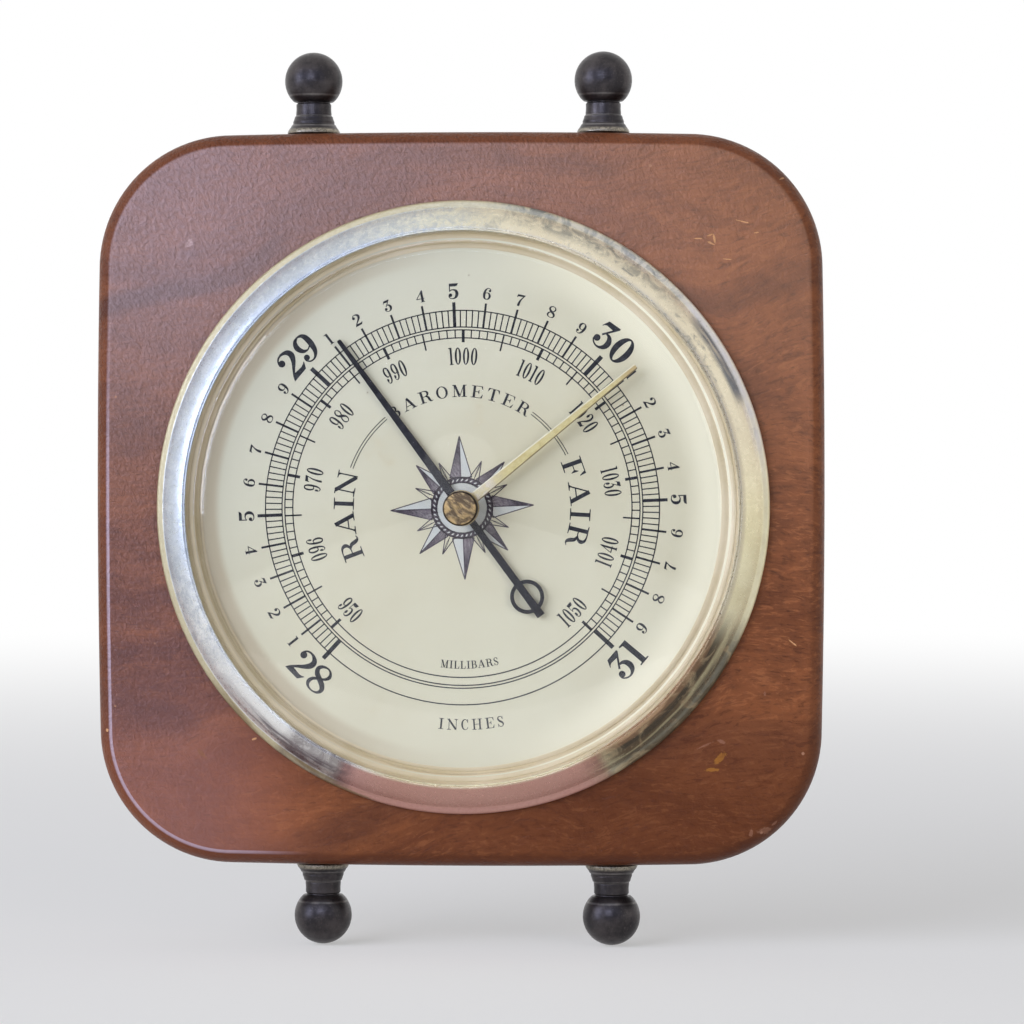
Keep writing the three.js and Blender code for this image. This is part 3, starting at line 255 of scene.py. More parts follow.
class Place(Measure):
    """Coordinates on a piece, in metres. They are the piece's own, so a finish moves with its piece."""

    def mapped(self, **changes):
        return Place(put(self.socket.id_data, "Mapping", {"Vector": self, **changes}).outputs[0])

    def parts(self):
        """Across, back and up, each by itself."""
        return [Measure(socket) for socket in put(self.socket.id_data, "SeparateXYZ", {0: self}).outputs]

    def noise(self, scale, detail=3.0, rough=0.5, distortion=0.0, turn=0.0):
        """Noise between 0 and 1. Three scales stretch it along axes that are turned in the dial's plane."""
        place = self
        if isinstance(scale, tuple):
            place, scale = self.mapped(Rotation=(0, math.radians(turn), 0)).mapped(Scale=scale), 1.0
        return self.into("TexNoise", {"Vector": place, "Scale": scale, "Detail": detail, "Roughness": rough,
                                      "Distortion": distortion}, "Fac")

    def cells(self, scale):
        """Distance from the middles of scattered cells."""
        return self.into("TexVoronoi", {"Vector": self, "Scale": scale}, "Distance")


def painted(ground, *layers):
    """A ground colour with others laid over it, each by a share between 0 and 1."""
    tone = colour(*ground)
    for share, tint in layers:
        tint = colour(*tint) if isinstance(tint, tuple) else tint
        tone = share.into("Mix", {0: share, 6: tone, 7: tint}, 2, data_type="RGBA")
    return tone


def bumped(height, depth, strength):
    """The surface's slope for a relief of this depth in millimetres."""
    return height.into("Bump", {"Height": height, "Distance": depth * MM, "Strength": strength})


class Finish:
    """A material in the making: its node tree and the coordinates that its parts are laid out by."""

    def __init__(self, name):
        self.material = bpy.data.materials.new(name)
        self.material.use_nodes = True
        self.tree = self.material.node_tree
        self.tree.nodes.clear()
        self.place = Place(put(self.tree, "TexCoord").outputs["Object"])

    def done(self, tone, roughness, relief=None, **values):
        """Sets the one shader. Relief is (height, depth, strength), and other values go on its sockets."""
        inputs = {key.replace("_", " "): value for key, value in values.items()}
        inputs.update({"Base Color": tone, "Roughness": roughness})
        if relief:
            inputs["Normal"] = bumped(*relief)
        shader = put(self.tree, "BsdfPrincipled", inputs)
        put(self.tree, "OutputMaterial", {"Surface": shader.outputs[0]})
        return self.material


def closed_mesh(name, shape):
    """A mesh from corners in millimetres and faces, with all its faces turned outward."""
    corners, faces = shape
    mesh = bpy.data.meshes.new(name)
    mesh.from_pydata([Vector(corner) * MM for corner in corners], [], faces)
    work = bmesh.new()
    work.from_mesh(mesh)
    bmesh.ops.remove_doubles(work, verts=work.verts, dist=1e-7)
    bmesh.ops.recalc_face_normals(work, faces=work.faces)
    work.to_mesh(mesh)
    work.free()
    return mesh


def make_piece(name, shape, finish, body, crease=32):
    """A closed piece on its body, smooth but for edges that turn by more degrees than the crease."""
    mesh = closed_mesh(name, shape)
    mesh.shade_smooth()
    mesh.set_sharp_from_angle(angle=math.radians(crease))
    mesh.materials.append(finish)
    piece = bpy.data.objects.new(name, mesh)
    bpy.context.collection.objects.link(piece)
    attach(piece, body)
    return piece


def stained_wood():
    finish = Finish("stained_wood")
    place = finish.place
    across, depth, up = place.parts()
    wander = (place.noise((16, 20, 22), 2.0) - 0.5) * 0.03
    grain = Place(place.vector("ADD", put(finish.tree, "CombineXYZ", {"Z": wander}).outputs[0]).socket)
    grain_across, _, grain_up = grain.parts()
    bands = grain.noise((16, 60, 75), 5.0, 0.6, 0.8, turn=7)
    blotches = place.noise((60, 60, 95), 5.0, 0.65, 0.6, turn=-12)
    fibres = grain.noise((110, 900, 1300), 3.0, 0.6, 0.5, turn=6)
    pores = grain.noise((420, 1500, 3000), 2.0, turn=5)
    figure = grain.noise((300, 600, 950), 4.0, 0.68, 0.7, turn=7)
    cross_figure = place.noise((620, 300, 210), 3.0, 0.6, 0.6, turn=58)
    pebbles = place.noise((1500, 1500, 1100), 2.0, 0.5, 0.3, turn=30)
    lean = grain_across + grain_up * 0.45
    crisp = (across - up * 0.6).span(-0.03, 0.06, 0.3, 1.0)
    layers = [(bands.span(0.33, 0.68), (136, 80, 46)),
              (lean.span(0.0, 0.085, 0.0, 0.5), (158, 96, 58)),
              (blotches.span(0.42, 0.7, 0.0, 0.5), (80, 42, 24)),
              (fibres.span(0.42, 0.7, 0.0, 0.26), (66, 34, 20)),
              (figure.span(0.53, 0.66, 0.0, 0.5) * crisp, (168, 106, 66)),
              (figure.span(0.46, 0.34, 0.0, 0.5) * crisp, (62, 32, 19)),
              (cross_figure.span(0.5, 0.8, 0.0, 0.14), (164, 104, 64)),
              (pores.span(0.62, 0.74, 0.0, 0.4), (50, 26, 18))]
    for height, slope, half_width, darkness, start, end in DARK_STREAKS:
        off_line = abs(grain_up - (grain_across * slope + height * MM))
        within = off_line.span(half_width * MM, 0.25 * half_width * MM, 0.0, darkness)
        reach = (grain_across.span((start - STREAK_FADE) * MM, start * MM)
                 * grain_across.span((end + STREAK_FADE) * MM, end * MM))
        layers.append((within * bands.span(0.3, 0.55, 0.45, 1.0) * reach, (56, 32, 28)))

    def behind_face(distance):
        return -(PLAQUE_THICKNESS - distance) * MM

    rounding = depth.span(behind_face(0.03), behind_face(0.3))
    flat = 1.0 - rounding
    # Painted sheen: a bluish-lilac reflection on the flat face, strongest at the upper left, weaker down the left
    # side, broken by the pebbled lacquer.
    painted_sheen = across.span(0.07, -0.045) * up.span(0.0, 0.065, 0.0, 0.31) + across.span(-0.03, -0.06, 0.0, 0.11)
    left_and_low = place.vector("DOT_PRODUCT", (-0.94, 0, -0.34), "Value")
    # Painted highlight: a pale line along the arris where the face meets the rounding, on the left side and round
    # the lower left corner.
    painted_arris_highlight = (depth.span(behind_face(0.004), behind_face(0.03))
                 * depth.span(behind_face(0.34), behind_face(0.12)))
    # Painted shade: the face darker and more saturated towards the lower right, where it catches no sheen.
    layers += [(across.span(-0.05, 0.03) * up.span(-0.03, -0.065, 0.0, 0.62), (84, 39, 8)),
               # Painted sheen: the face lighter and pinker towards the lower left.
               (across.span(-0.02, -0.05) * up.span(-0.03, -0.06, 0.0, 0.35), (170, 104, 78)),
               (painted_sheen * (flat * pebbles.span(0.3, 0.7, 0.84, 1.16)), (166, 155, 176)),
               # Painted sheen: the flat face lighter towards the top.
               (up.span(-0.03, 0.055, 0.0, 0.2) * flat, (184, 152, 130)),
               (rounding * across.span(0.05, 0.072, 0.5, 0.2), (82, 38, 18)),
               (painted_arris_highlight * left_and_low.span(0.054, 0.072, 0.0, 0.6), (190, 174, 192))]
    ragged = place.noise(620.0, 3.0, 0.7) * 1.7 + place.noise(2600.0, 3.0, 0.7) * 0.9
    for x, z, half_length, half_width, tilt, tint in CHIPS:
        size = (1 / (half_length * MM), 1 / (CHIP_REACH * MM), 1 / (half_width * MM))
        chip_middle = place.mapped(Location=(-x * MM, PLAQUE_THICKNESS * MM, -z * MM))
        chip_place = chip_middle.mapped(Rotation=(0, math.radians(tilt), 0)).mapped(Scale=size)
        edge = chip_place.vector("LENGTH", output="Value") + ragged
        layers.append((edge.span(2.25, 1.95) * figure.span(0.35, 0.6, 0.65, 1.0), tint))
    layers.append((place.cells(105.0).span(0.045, 0.025, 0.0, 0.7), (178, 134, 108)))
    wrinkles = pebbles * (across - up).span(0.03, -0.07, 0.8, 3.4)
    relief = cross_figure * 0.6 + wrinkles - pores.span(0.6, 0.75) * 0.3
    return finish.done(painted((101, 55, 31), *layers), cross_figure.span(0.3, 0.7, 0.34, 0.44),
                       (relief, 0.15, 0.9), Specular_IOR_Level=0.24)


def plaque_outline(inset, corner_steps=28, side_steps=14):
    """Points (x, z) of the plaque's edge, moved in by an inset: bowed sides joined by round corners."""
    half_x = (plaque_high.x - plaque_low.x) / 2 - SIDE_BOW
    half_z = (plaque_high.z - plaque_low.z) / 2 - SIDE_BOW
    middles = [Vector((PLAQUE_X + across * (half_x - CORNER_RADIUS), PLAQUE_Z + up * (half_z - CORNER_RADIUS)))
               for across, up in ((1, 1), (-1, 1), (-1, -1), (1, -1))]
    points = []
    for quarter, middle in enumerate(middles):
        for step in range(corner_steps + 1):
            angle = (quarter + step / corner_steps) * math.pi / 2
            points.append(middle + (CORNER_RADIUS - inset) * Vector((math.cos(angle), math.sin(angle))))
        outward = Vector((math.cos((quarter + 1) * math.pi / 2), math.sin((quarter + 1) * math.pi / 2)))
        for step in range(1, side_steps):
            along = step / side_steps
            bow = SIDE_BOW * (1 - (2 * along - 1) ** 2)
            straight = middle.lerp(middles[(quarter + 1) % 4], along)
            points.append(straight + (CORNER_RADIUS - inset + bow) * outward)
    return points


def plaque_rings():
    """Rings of points round the plaque, from its back edge over the outside and the face into the bore."""
    rounding_steps = 10
    radius = FRONT_ROUNDING / (1 - math.cos(math.radians(ROUNDING_END)))
    side_end = PLAQUE_THICKNESS - 0.06 - radius * math.sin(math.radians(ROUNDING_END))
    levels = [(BACK_EASING, 0), (BACK_EASING * 0.3, BACK_EASING * 0.3), (0, BACK_EASING), (0, side_end)]
    for step in range(1, rounding_steps + 1):
        angle = math.radians(step / rounding_steps * ROUNDING_END)
        levels.append((radius * (1 - math.cos(angle)), side_end + radius * math.sin(angle)))
    levels += [(FRONT_ROUNDING + 0.3, PLAQUE_THICKNESS), (FRONT_ROUNDING + 0.8, PLAQUE_THICKNESS)]
    rings = [[(p.x, -forward, p.y) for p in plaque_outline(inset)] for inset, forward in levels]
    bore = [p.normalized() * BORE_RADIUS for p in plaque_outline(FRONT_ROUNDING)]
    return rings + [[(p.x, -forward, p.y) for p in bore] for forward in (PLAQUE_THICKNESS, 0)]


def ring_faces(ring_count, point_count):
    """Faces between neighbouring rings of a closed piece, the last ring joined to the first."""
    return [(ring * point_count + k, ring * point_count + (k + 1) % point_count,
             (ring + 1) % ring_count * point_count + (k + 1) % point_count,
             (ring + 1) % ring_count * point_count + k)
            for ring in range(ring_count) for k in range(point_count)]


def box_of(low, high):
    """Corners and faces of a straight-sided cutter."""
    corners = [(x, y, z) for x in (low[0], high[0]) for y in (low[1], high[1]) for z in (low[2], high[2])]
    return corners, [(0, 1, 3, 2), (4, 6, 7, 5), (0, 4, 5, 1), (2, 3, 7, 6), (0, 2, 6, 4), (1, 5, 7, 3)]


def joined(parts):
    """Several sets of corners and faces as one."""
    all_corners, all_faces = [], []
    for corners, faces in parts:
        all_faces += [tuple(i + len(all_corners) for i in face) for face in faces]
        all_corners += corners
    return all_corners, all_faces


def cut(piece, cutters, crease=32):
    """Takes the cutters out of a piece for good."""
    cutter = bpy.data.objects.new("cutter", closed_mesh("cutter", joined(cutters)))
    bpy.context.collection.objects.link(cutter)
    modifier = piece.modifiers.new("cut", "BOOLEAN")
    modifier.operation = "DIFFERENCE"
    modifier.solver = "EXACT"
    modifier.object = cutter
    done = piece.evaluated_get(bpy.context.evaluated_depsgraph_get())
    cut_mesh = bpy.data.meshes.new_from_object(done)
    piece.modifiers.clear()
    cut_mesh.set_sharp_from_angle(angle=math.radians(crease))
    piece.data = cut_mesh
    bpy.data.objects.remove(cutter)


rings = plaque_rings()
plaque = make_piece("stained_plaque", ([p for ring in rings for p in ring], ring_faces(len(rings), len(rings[0]))),
                    stained_wood(), "case")
hanger_low, hanger_high = (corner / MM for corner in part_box("hanger"))
cut(plaque, [box_of((hanger_low.x - RECESS_MARGIN, -RECESS_DEPTH, hanger_low.z - RECESS_MARGIN),
                    (hanger_high.x + RECESS_MARGIN, 1, hanger_high.z + RECESS_MARGIN))])
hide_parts("plaque")


# Spindles. Turned brass finials plated in gunmetal, screwed into the plaque's top and bottom edges: a
# flared foot with its plating worn bright, a grooved neck, a shoulder and a ball.
TENON_RADIUS = 2
SPINDLE_PROFILE = [(0, -10), (1.6, -10), (TENON_RADIUS, -9.6), (TENON_RADIUS, 0.1), (5.5, 0.1), (5.5, 0.5),
                   (5.3, 0.9), (4.85, 1.5), (4.62, 1.95), (4.42, 2.05), (4.34, 2.35), (4.36, 2.6), (4.12, 3.2),
                   (3.98, 3.75), (3.78, 3.86), (3.72, 4.1), (3.74, 4.3), (3.66, 5.2), (3.68, 6.3), (3.42, 6.5),
                   (3.45, 6.7), (4.1, 6.85), (4.35, 7.05)]
BALL_RADIUS = 6.05
BALL_HEIGHT = 11.2
BALL_FOOT = 7.45
BALL_STEPS = 26
BRIGHT_FOOT_START, BRIGHT_FOOT_END = 0.7, 1.35
# Heights of painted highlights: pale rings round the turning where it catches the light.
HIGHLIGHT_RING_HEIGHTS = (8.1, 3.8, 1.8)


def gunmetal():
    finish = Finish("gunmetal")
    place = finish.place
    up = place.parts()[2]
    height = abs(up - PLAQUE_Z * MM) - (plaque_high.z - PLAQUE_Z) * MM
    cloud = place.noise(260.0, 4.0, 0.6)
    fine = place.noise(2600.0, 3.0, 0.6)
    scratch = place.noise((600, 600, 4200), 2.0, 0.6)
    layers = [(cloud.span(0.35, 0.7), (76, 71, 71)), (fine.span(0.55, 0.75, 0.0, 0.28), (112, 106, 102))]
    # Painted highlights: pale rings round the turning.
    for ring_height in HIGHLIGHT_RING_HEIGHTS:
        near = abs(height - ring_height * MM).span(0.3 * MM, 0.08 * MM, 0.0, 0.3)
        layers.append((near * cloud.span(0.35, 0.6, 0.3, 1.0), (168, 164, 160)))
    foot = height.span(BRIGHT_FOOT_END * MM, BRIGHT_FOOT_START * MM) * fine.span(0.36, 0.62, 0.25, 0.9)
    return finish.done(painted((50, 47, 49), *layers, (foot, (170, 162, 144))), scratch.span(0.3, 0.7, 0.3, 0.42),
                       (cloud + scratch, 0.05, 0.5), Metallic=0.8, Specular_IOR_Level=0.5)


def eased(profile, radius, steps=4):
    """Rounds every corner of a closed profile, by no more than its sides allow."""
    points = [Vector(p) for p in profile]
    rounded = []
    for index, corner in enumerate(points):
        before = points[index - 1] - corner
        after = points[(index + 1) % len(points)] - corner
        turn = math.pi - before.angle(after) if before.length and after.length else 0
        if turn < 0.12:
            rounded.append(corner)
            continue
        reach = min(radius * math.tan(turn / 2), 0.4 * before.length, 0.4 * after.length)
        start, end = corner + before.normalized() * reach, corner + after.normalized() * reach
        for step in range(steps + 1):
            t = step / steps
            rounded.append(start * (1 - t) ** 2 + corner * 2 * t * (1 - t) + end * t * t)
    return [tuple(p) for p in rounded]


def turned(profile, steps, place=lambda across, along, up: (across, -along, up)):
    """Corners and faces of a piece turned from a closed profile of (radius, along) pairs."""
    corners = []
    for radius, along in profile:
        for step in range(steps):
            angle = 2 * math.pi * step / steps
            corners.append(place(radius * math.sin(angle), along, radius * math.cos(angle)))
    return corners, ring_faces(len(profile), steps)


ball_start = math.acos((BALL_FOOT - BALL_HEIGHT) / BALL_RADIUS)
ball_angles = [ball_start * (1 - step / BALL_STEPS) for step in range(BALL_STEPS + 1)]
spindle_profile = eased(SPINDLE_PROFILE, 0.25, 3)[:-4] + [SPINDLE_PROFILE[-1]] + [
    (BALL_RADIUS * math.sin(angle), BALL_HEIGHT + BALL_RADIUS * math.cos(angle)) for angle in ball_angles]
gunmetal_plating = gunmetal()
for name, up in (("spindle_top_left", 1), ("spindle_top_right", 1),
                 ("spindle_bottom_left", -1), ("spindle_bottom_right", -1)):
    low, high = (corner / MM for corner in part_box(name))
    middle_x, edge_z = (low.x + high.x) / 2, (plaque_high.z if up > 0 else plaque_low.z)
    shape = turned(spindle_profile, 72, lambda across, along, around: (
        middle_x + across, around - PLAQUE_THICKNESS / 2, edge_z + up * along))
    spindle = make_piece("turned_" + name, shape, gunmetal_plating, "case", 40)
    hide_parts(name)


# Case can. A cup pressed from thin steel and zinc plated; its flat rim lies on the plaque's front, and its
# floor has a pressed centre, vents and holes for the movement's screws.
CAN_PROFILE = [(0, 0), (13.4, 0), (14.6, 1.2), (51.5, 1.2), (54.2, 3.9), (54.2, 19.1), (61.2, 19.1),
               (61.2, 19.7), (53.6, 19.7), (53.6, 3.9), (51.5, 1.8), (14.3, 1.8), (13.1, 0.6), (0, 0.6)]

# (distance from the axis, angles from the right, hole's radius, back, front) of the holes for the
# movement's screws, the vents, the holes for the rim's screws and the hole for the adjusting screw
CAN_HOLES = [(30, (60, 180, 300), 1.5, -1, 3), (44.1, (20, 160, 270), 1.6, -1, 3),
             (59.4, (90, 210, 330), 1.2, 18, 21), (25.6, (0,), 2.6, -1, 3)]


def plated_steel(name, light, dark, smoothest, roughest):
    finish = Finish(name)
    cloud = finish.place.noise(90.0, 4.0, 0.6)
    streak = finish.place.noise((2600, 300, 240), 2.0)
    spangle = finish.place.cells(620.0).span(0.2, 0.8, 0.0, 0.18)
    mixed = streak * 0.5 + cloud * 0.5
    return finish.done(painted(light, (cloud.span(0.3, 0.7), dark), (spangle, dark)),
                       mixed.span(0.3, 0.7, smoothest, roughest), (mixed, 0.03, 0.4), Metallic=1.0)


def rod_of(x, z, radius, back, front, steps=40):
    """Corners and faces of a round cutter along the dial's axis."""
    circle = [(x + radius * math.cos(2 * math.pi * k / steps), z + radius * math.sin(2 * math.pi * k / steps))
              for k in range(steps)]
    corners = [(p, -forward, q) for forward in (back, front) for p, q in circle]
    faces = [(k, (k + 1) % steps, steps + (k + 1) % steps, steps + k) for k in range(steps)]
    return corners, faces + [tuple(range(steps))[::-1], tuple(range(steps, 2 * steps))]


zinc = plated_steel("zinc_plate", (186, 188, 188), (148, 150, 152), 0.28, 0.46)
can = make_piece("pressed_can", turned(eased(CAN_PROFILE, 0.5, 3), 144), zinc, "case")
cut(can, [rod_of(distance * math.cos(math.radians(angle)), distance * math.sin(math.radians(angle)), *hole)
          for distance, angles, *hole in CAN_HOLES for angle in angles])
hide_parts("case_can")


# Hanger, its nails and the rim screws. The hanger is a strip of plated steel with teeth along its lower
# edge, bent forward at both ends and nailed into its recess; the screws hold the can's rim to the wood.
def soft_shading():
    """A modifier tree that joins a solid's faces and shades them smooth, but for its sharp edges."""
    group = bpy.data.node_groups.new("soft_shading", "GeometryNodeTree")
    group.interface.new_socket("Geometry", in_out="INPUT", socket_type="NodeSocketGeometry")
    group.interface.new_socket("Geometry", in_out="OUTPUT", socket_type="NodeSocketGeometry")
    start = group.nodes.new("NodeGroupInput")
    weld = group.nodes.new("GeometryNodeMergeByDistance")
    weld.inputs["Distance"].default_value = 1e-6
    faces_smooth = group.nodes.new("GeometryNodeSetShadeSmooth")
    angle = group.nodes.new("GeometryNodeInputMeshEdgeAngle")
    sharp = group.nodes.new("FunctionNodeCompare")
    sharp.data_type = "FLOAT"
    sharp.operation = "GREATER_THAN"
    sharp.inputs[1].default_value = math.radians(38)
    edges_sharp = group.nodes.new("GeometryNodeSetShadeSmooth")
    edges_sharp.domain = "EDGE"
    edges_sharp.inputs["Shade Smooth"].default_value = False
    end = group.nodes.new("NodeGroupOutput")
    for source, target in ((start.outputs[0], weld.inputs["Geometry"]),
                           (weld.outputs[0], faces_smooth.inputs["Geometry"]),
                           (faces_smooth.outputs[0], edges_sharp.inputs["Geometry"]),
                           (angle.outputs["Unsigned Angle"], sharp.inputs[0]),
                           (sharp.outputs[0], edges_sharp.inputs["Selection"]),
                           (edges_sharp.outputs[0], end.inputs[0])):
        group.links.new(source, target)
    return group


shading = soft_shading()


def dress(finish, *names):
    """Gives CAD nodes a finish and soft shading. Their shapes stay as they are."""
    for name in names:
        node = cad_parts[name]
        for surface in node.material_slots:
            surface.material = finish
        node.modifiers.new("soft_shading", "NODES").node_group = shading


screw_steel = plated_steel("screw_steel", (170, 171, 170), (118, 120, 124), 0.25, 0.4)
dress(screw_steel, "hanger", "hanger_nail_left", "hanger_nail_right", "rim_screw_1", "rim_screw_2", "rim_screw_3")


# Movement. The aneroid works: brass plates, pillars, lever and capsule, steel springs, arbors and chain,
# and plated screws. It is hidden by the dial, and drives the pointer.
def works_brass():
    finish = Finish("works_brass")
    cloud = finish.place.noise(160.0, 4.0, 0.6)
    brushed = finish.place.noise((240, 900, 5200), 2.0, 0.6)
    spots = finish.place.noise(520.0, 2.0).span(0.66, 0.76, 0.0, 0.6)
    return finish.done(painted((206, 170, 98), (cloud.span(0.3, 0.7), (164, 124, 62)), (spots, (104, 76, 42))),
                       brushed.span(0.3, 0.7, 0.24, 0.42), (brushed, 0.02, 0.5), Metallic=1.0)


brass = works_brass()
blued_steel = plated_steel("spring_steel", (92, 102, 118), (58, 62, 76), 0.22, 0.36)
dress(brass, "base_plate", "adjusting_screw", "aneroid_capsule", "capsule_nut", "capsule_post", "spring_bridge",
      "spring_clamp", "main_lever", "connecting_link", "rocker_bracket", "arbor_bridge", "pillar_lower",
      "pillar_upper", "hairspring_stud")
dress(blued_steel, "main_spring", "chain", "hairspring", "pointer_arbor", "rocking_shaft", "friction_washer")
dress(screw_steel, "movement_screw_1", "movement_screw_2", "movement_screw_3", "clamp_screw_lower",
      "clamp_screw_upper")


# Dial. A thin disc of sheet steel in stoved cream enamel, riveted over the movement. The enamel has
# yellowed in patches with age and has a few specks. Painted shadow darkens it under the left edge of the
# sight ring, a painted highlight brightens its right edge and a painted bluish reflection lies over its
# upper left.
def from_axis(place):
    """Distance from the dial's axis."""
    return place.mapped(Scale=(1, 0, 1)).vector("LENGTH", output="Value")


def cream_enamel():
    finish = Finish("cream_enamel")
    place = finish.place
    across, _, up = place.parts()
    cloud = place.noise(26.0, 4.0, 0.55)
    fine = place.noise(1300.0, 3.0, 0.6)
    aged = place.noise(75.0, 5.0, 0.7).span(0.58, 0.8) * cloud.span(0.4, 0.6, 0.15, 0.55)
    radius = from_axis(place)
    tone = painted((225, 222, 200), (cloud.span(0.3, 0.72), (217, 212, 188)),
                   # Painted reflection: a bluish veil towards the upper left.
                   ((across * 0.7 + up * -0.7).span(0.0, -0.055, 0.0, 0.45), (212, 214, 206)),
                   (aged, (206, 190, 154)),
                   (place.cells(95.0).span(0.026, 0.014, 0.0, 0.7), (126, 98, 70)),
                   # Painted shadow: brownish under the left edge of the sight ring.
                   (radius.span(0.0502, 0.0522, 0.0, 0.55) * across.span(0.004, -0.04), (184, 164, 136)),
                   # Painted highlight: the enamel brighter along its right edge.
                   (radius.span(0.045, 0.053) * across.span(0.0, 0.04), (253, 249, 226)))
    return finish.done(tone, fine.span(0.3, 0.7, 0.5, 0.62), (fine, 0.01, 0.3), Specular_IOR_Level=0.3)


dress(cream_enamel(), "dial_plate")


# Scales. Printed on the dial in dark grey ink: inches of mercury outside and millibars inside, joined by
# ring lines that run on round the bottom. The print sits turned a little against the plaque.
DIAL_FACE = 20.3
INK_FRONT = DIAL_FACE + 0.025
INK_BACK = DIAL_FACE - 0.02
PRINT_TURN = -2.3
LOWEST_INCHES, MIDDLE_INCHES, HIGHEST_INCHES = 28, 29.5, 31
DEGREES_PER_INCH = 90
MILLIBARS_PER_INCH = 33.8639
INCH_OUTER, INCH_INNER = 41.1, 37.66
MILLIBAR_OUTER, MILLIBAR_INNER = 37.07, 35.42
LINE = 0.24
TICKS_PER_INCH = 50
LONG_TICK_END = 42.8
# (every so many, width, end radius) and {millibars past a ten: (width, start radius)}
INCH_TICKS = ((50, 0.9, LONG_TICK_END), (25, 0.66, LONG_TICK_END), (5, 0.44, LONG_TICK_END), (1, 0.25, INCH_OUTER))
MILLIBAR_TICKS = {0: (0.6, 34.5), 5: (0.33, 33.6)}
FINE_MILLIBAR_TICK = (0.25, MILLIBAR_INNER)


def dark_ink():
    finish = Finish("dark_ink")
    thin = finish.place.noise(1500.0, 3.0, 0.6)
    return finish.done(painted((43, 44, 50), (thin.span(0.35, 0.75), (69, 70, 76))),
                       thin.span(0.3, 0.7, 0.5, 0.65), Specular_IOR_Level=0.15)


ink = dark_ink()


def dial_angle(inches):
    """Angle of a reading, clockwise from the top."""
    return (inches - MIDDLE_INCHES) * DEGREES_PER_INCH + PRINT_TURN


def polar(radius, degrees):
    """Place (x, z) on the dial at an angle clockwise from the top."""
    return (radius * math.sin(math.radians(degrees)), radius * math.cos(math.radians(degrees)))


def directions(degrees):
    """Outward and clockwise from the dial's middle at an angle."""
    out = Vector(polar(1, degrees))
    return out, Vector((out.y, -out.x))


def flat_plate(outlines, back, front):
    """Corners and faces of a thin plate cut to all of these outlines of (x, z) points together."""
    points, loops = [], []
    for outline in outlines:
        loops.append(list(range(len(points), len(points) + len(outline))))
        points += [Vector(p) for p in outline]
    points, _, triangles, _, _, owners = geometry.delaunay_2d_cdt(points, [], loops, 0, 1e-6)
    kept = [list(t) for t, owner in zip(triangles, owners) if owner]
    numbers = {old: new for new, old in enumerate(sorted({i for t in kept for i in t}))}
    kept = [[numbers[i] for i in t] for t in kept]
    flat = [points[old] for old in numbers]
    count = len(flat)
    sides = {(t[k], t[(k + 1) % 3]) for t in kept for k in range(3)}
    walls = [(b, a, a + count, b + count) for a, b in sides if (b, a) not in sides]
    corners = [(p.x, -front, p.y) for p in flat] + [(p.x, -back, p.y) for p in flat]
    return corners, [tuple(t) for t in kept] + [tuple(i + count for i in t[::-1]) for t in kept] + walls


def tick(degrees, inner, outer, width):
    """Corners of a stroke that points at the dial's middle."""
    out, side = directions(degrees)
    side = side * width / 2
    return [out * inner - side, out * inner + side, out * outer + side, out * outer - side]


def printed_ring(radius, width, start=0.0, end=360.0, pitch=1.5):
    """Corners and faces of a line of ink along a circle."""
    whole = abs(end - start - 360) < 1e-6
    count = max(2, round((end - start) / pitch))
    angles = [start + (end - start) * k / count for k in range(count + (0 if whole else 1))]
    rings = [[(x, -forward, z) for x, z in (polar(r, a) for a in angles)]
             for r, forward in ((radius - width / 2, INK_BACK), (radius - width / 2, INK_FRONT),
                                (radius + width / 2, INK_FRONT), (radius + width / 2, INK_BACK))]
    n = len(angles)
    corners = [p for ring in rings for p in ring]
    if whole:
        return corners, ring_faces(4, n)
    faces = [(r * n + k, r * n + k + 1, (r + 1) % 4 * n + k + 1, (r + 1) % 4 * n + k)
             for r in range(4) for k in range(n - 1)]
    return corners, faces + [(0, n, 2 * n, 3 * n), (n - 1, 4 * n - 1, 3 * n - 1, 2 * n - 1)]


def strokes(outlines):
    """Separate strokes of ink that don't touch one another."""
    return joined([flat_plate([outline], INK_BACK, INK_FRONT) for outline in outlines])


def print_on_dial(name, parts):
    """A piece of dark print on the dial."""
    make_piece(name, joined(parts), ink, "case")


inch_ticks = []
for count in range((HIGHEST_INCHES - LOWEST_INCHES) * TICKS_PER_INCH + 1):
    width, outer = next((width, outer) for every, width, outer in INCH_TICKS if count % every == 0)
    inch_ticks.append(tick(dial_angle(LOWEST_INCHES + count / TICKS_PER_INCH), INCH_INNER, outer, width))
print_on_dial("inch_scale", [strokes(inch_ticks), printed_ring(INCH_OUTER, LINE), printed_ring(INCH_INNER, LINE)])
millibar_ticks = []
for value in range(950, 1051):
    width, inner = MILLIBAR_TICKS.get(value % 10, FINE_MILLIBAR_TICK)
    millibar_ticks.append(tick(dial_angle(value / MILLIBARS_PER_INCH), inner, MILLIBAR_OUTER, width))
print_on_dial("millibar_scale", [strokes(millibar_ticks), printed_ring(MILLIBAR_OUTER, LINE),
                                 printed_ring(MILLIBAR_INNER, LINE)])


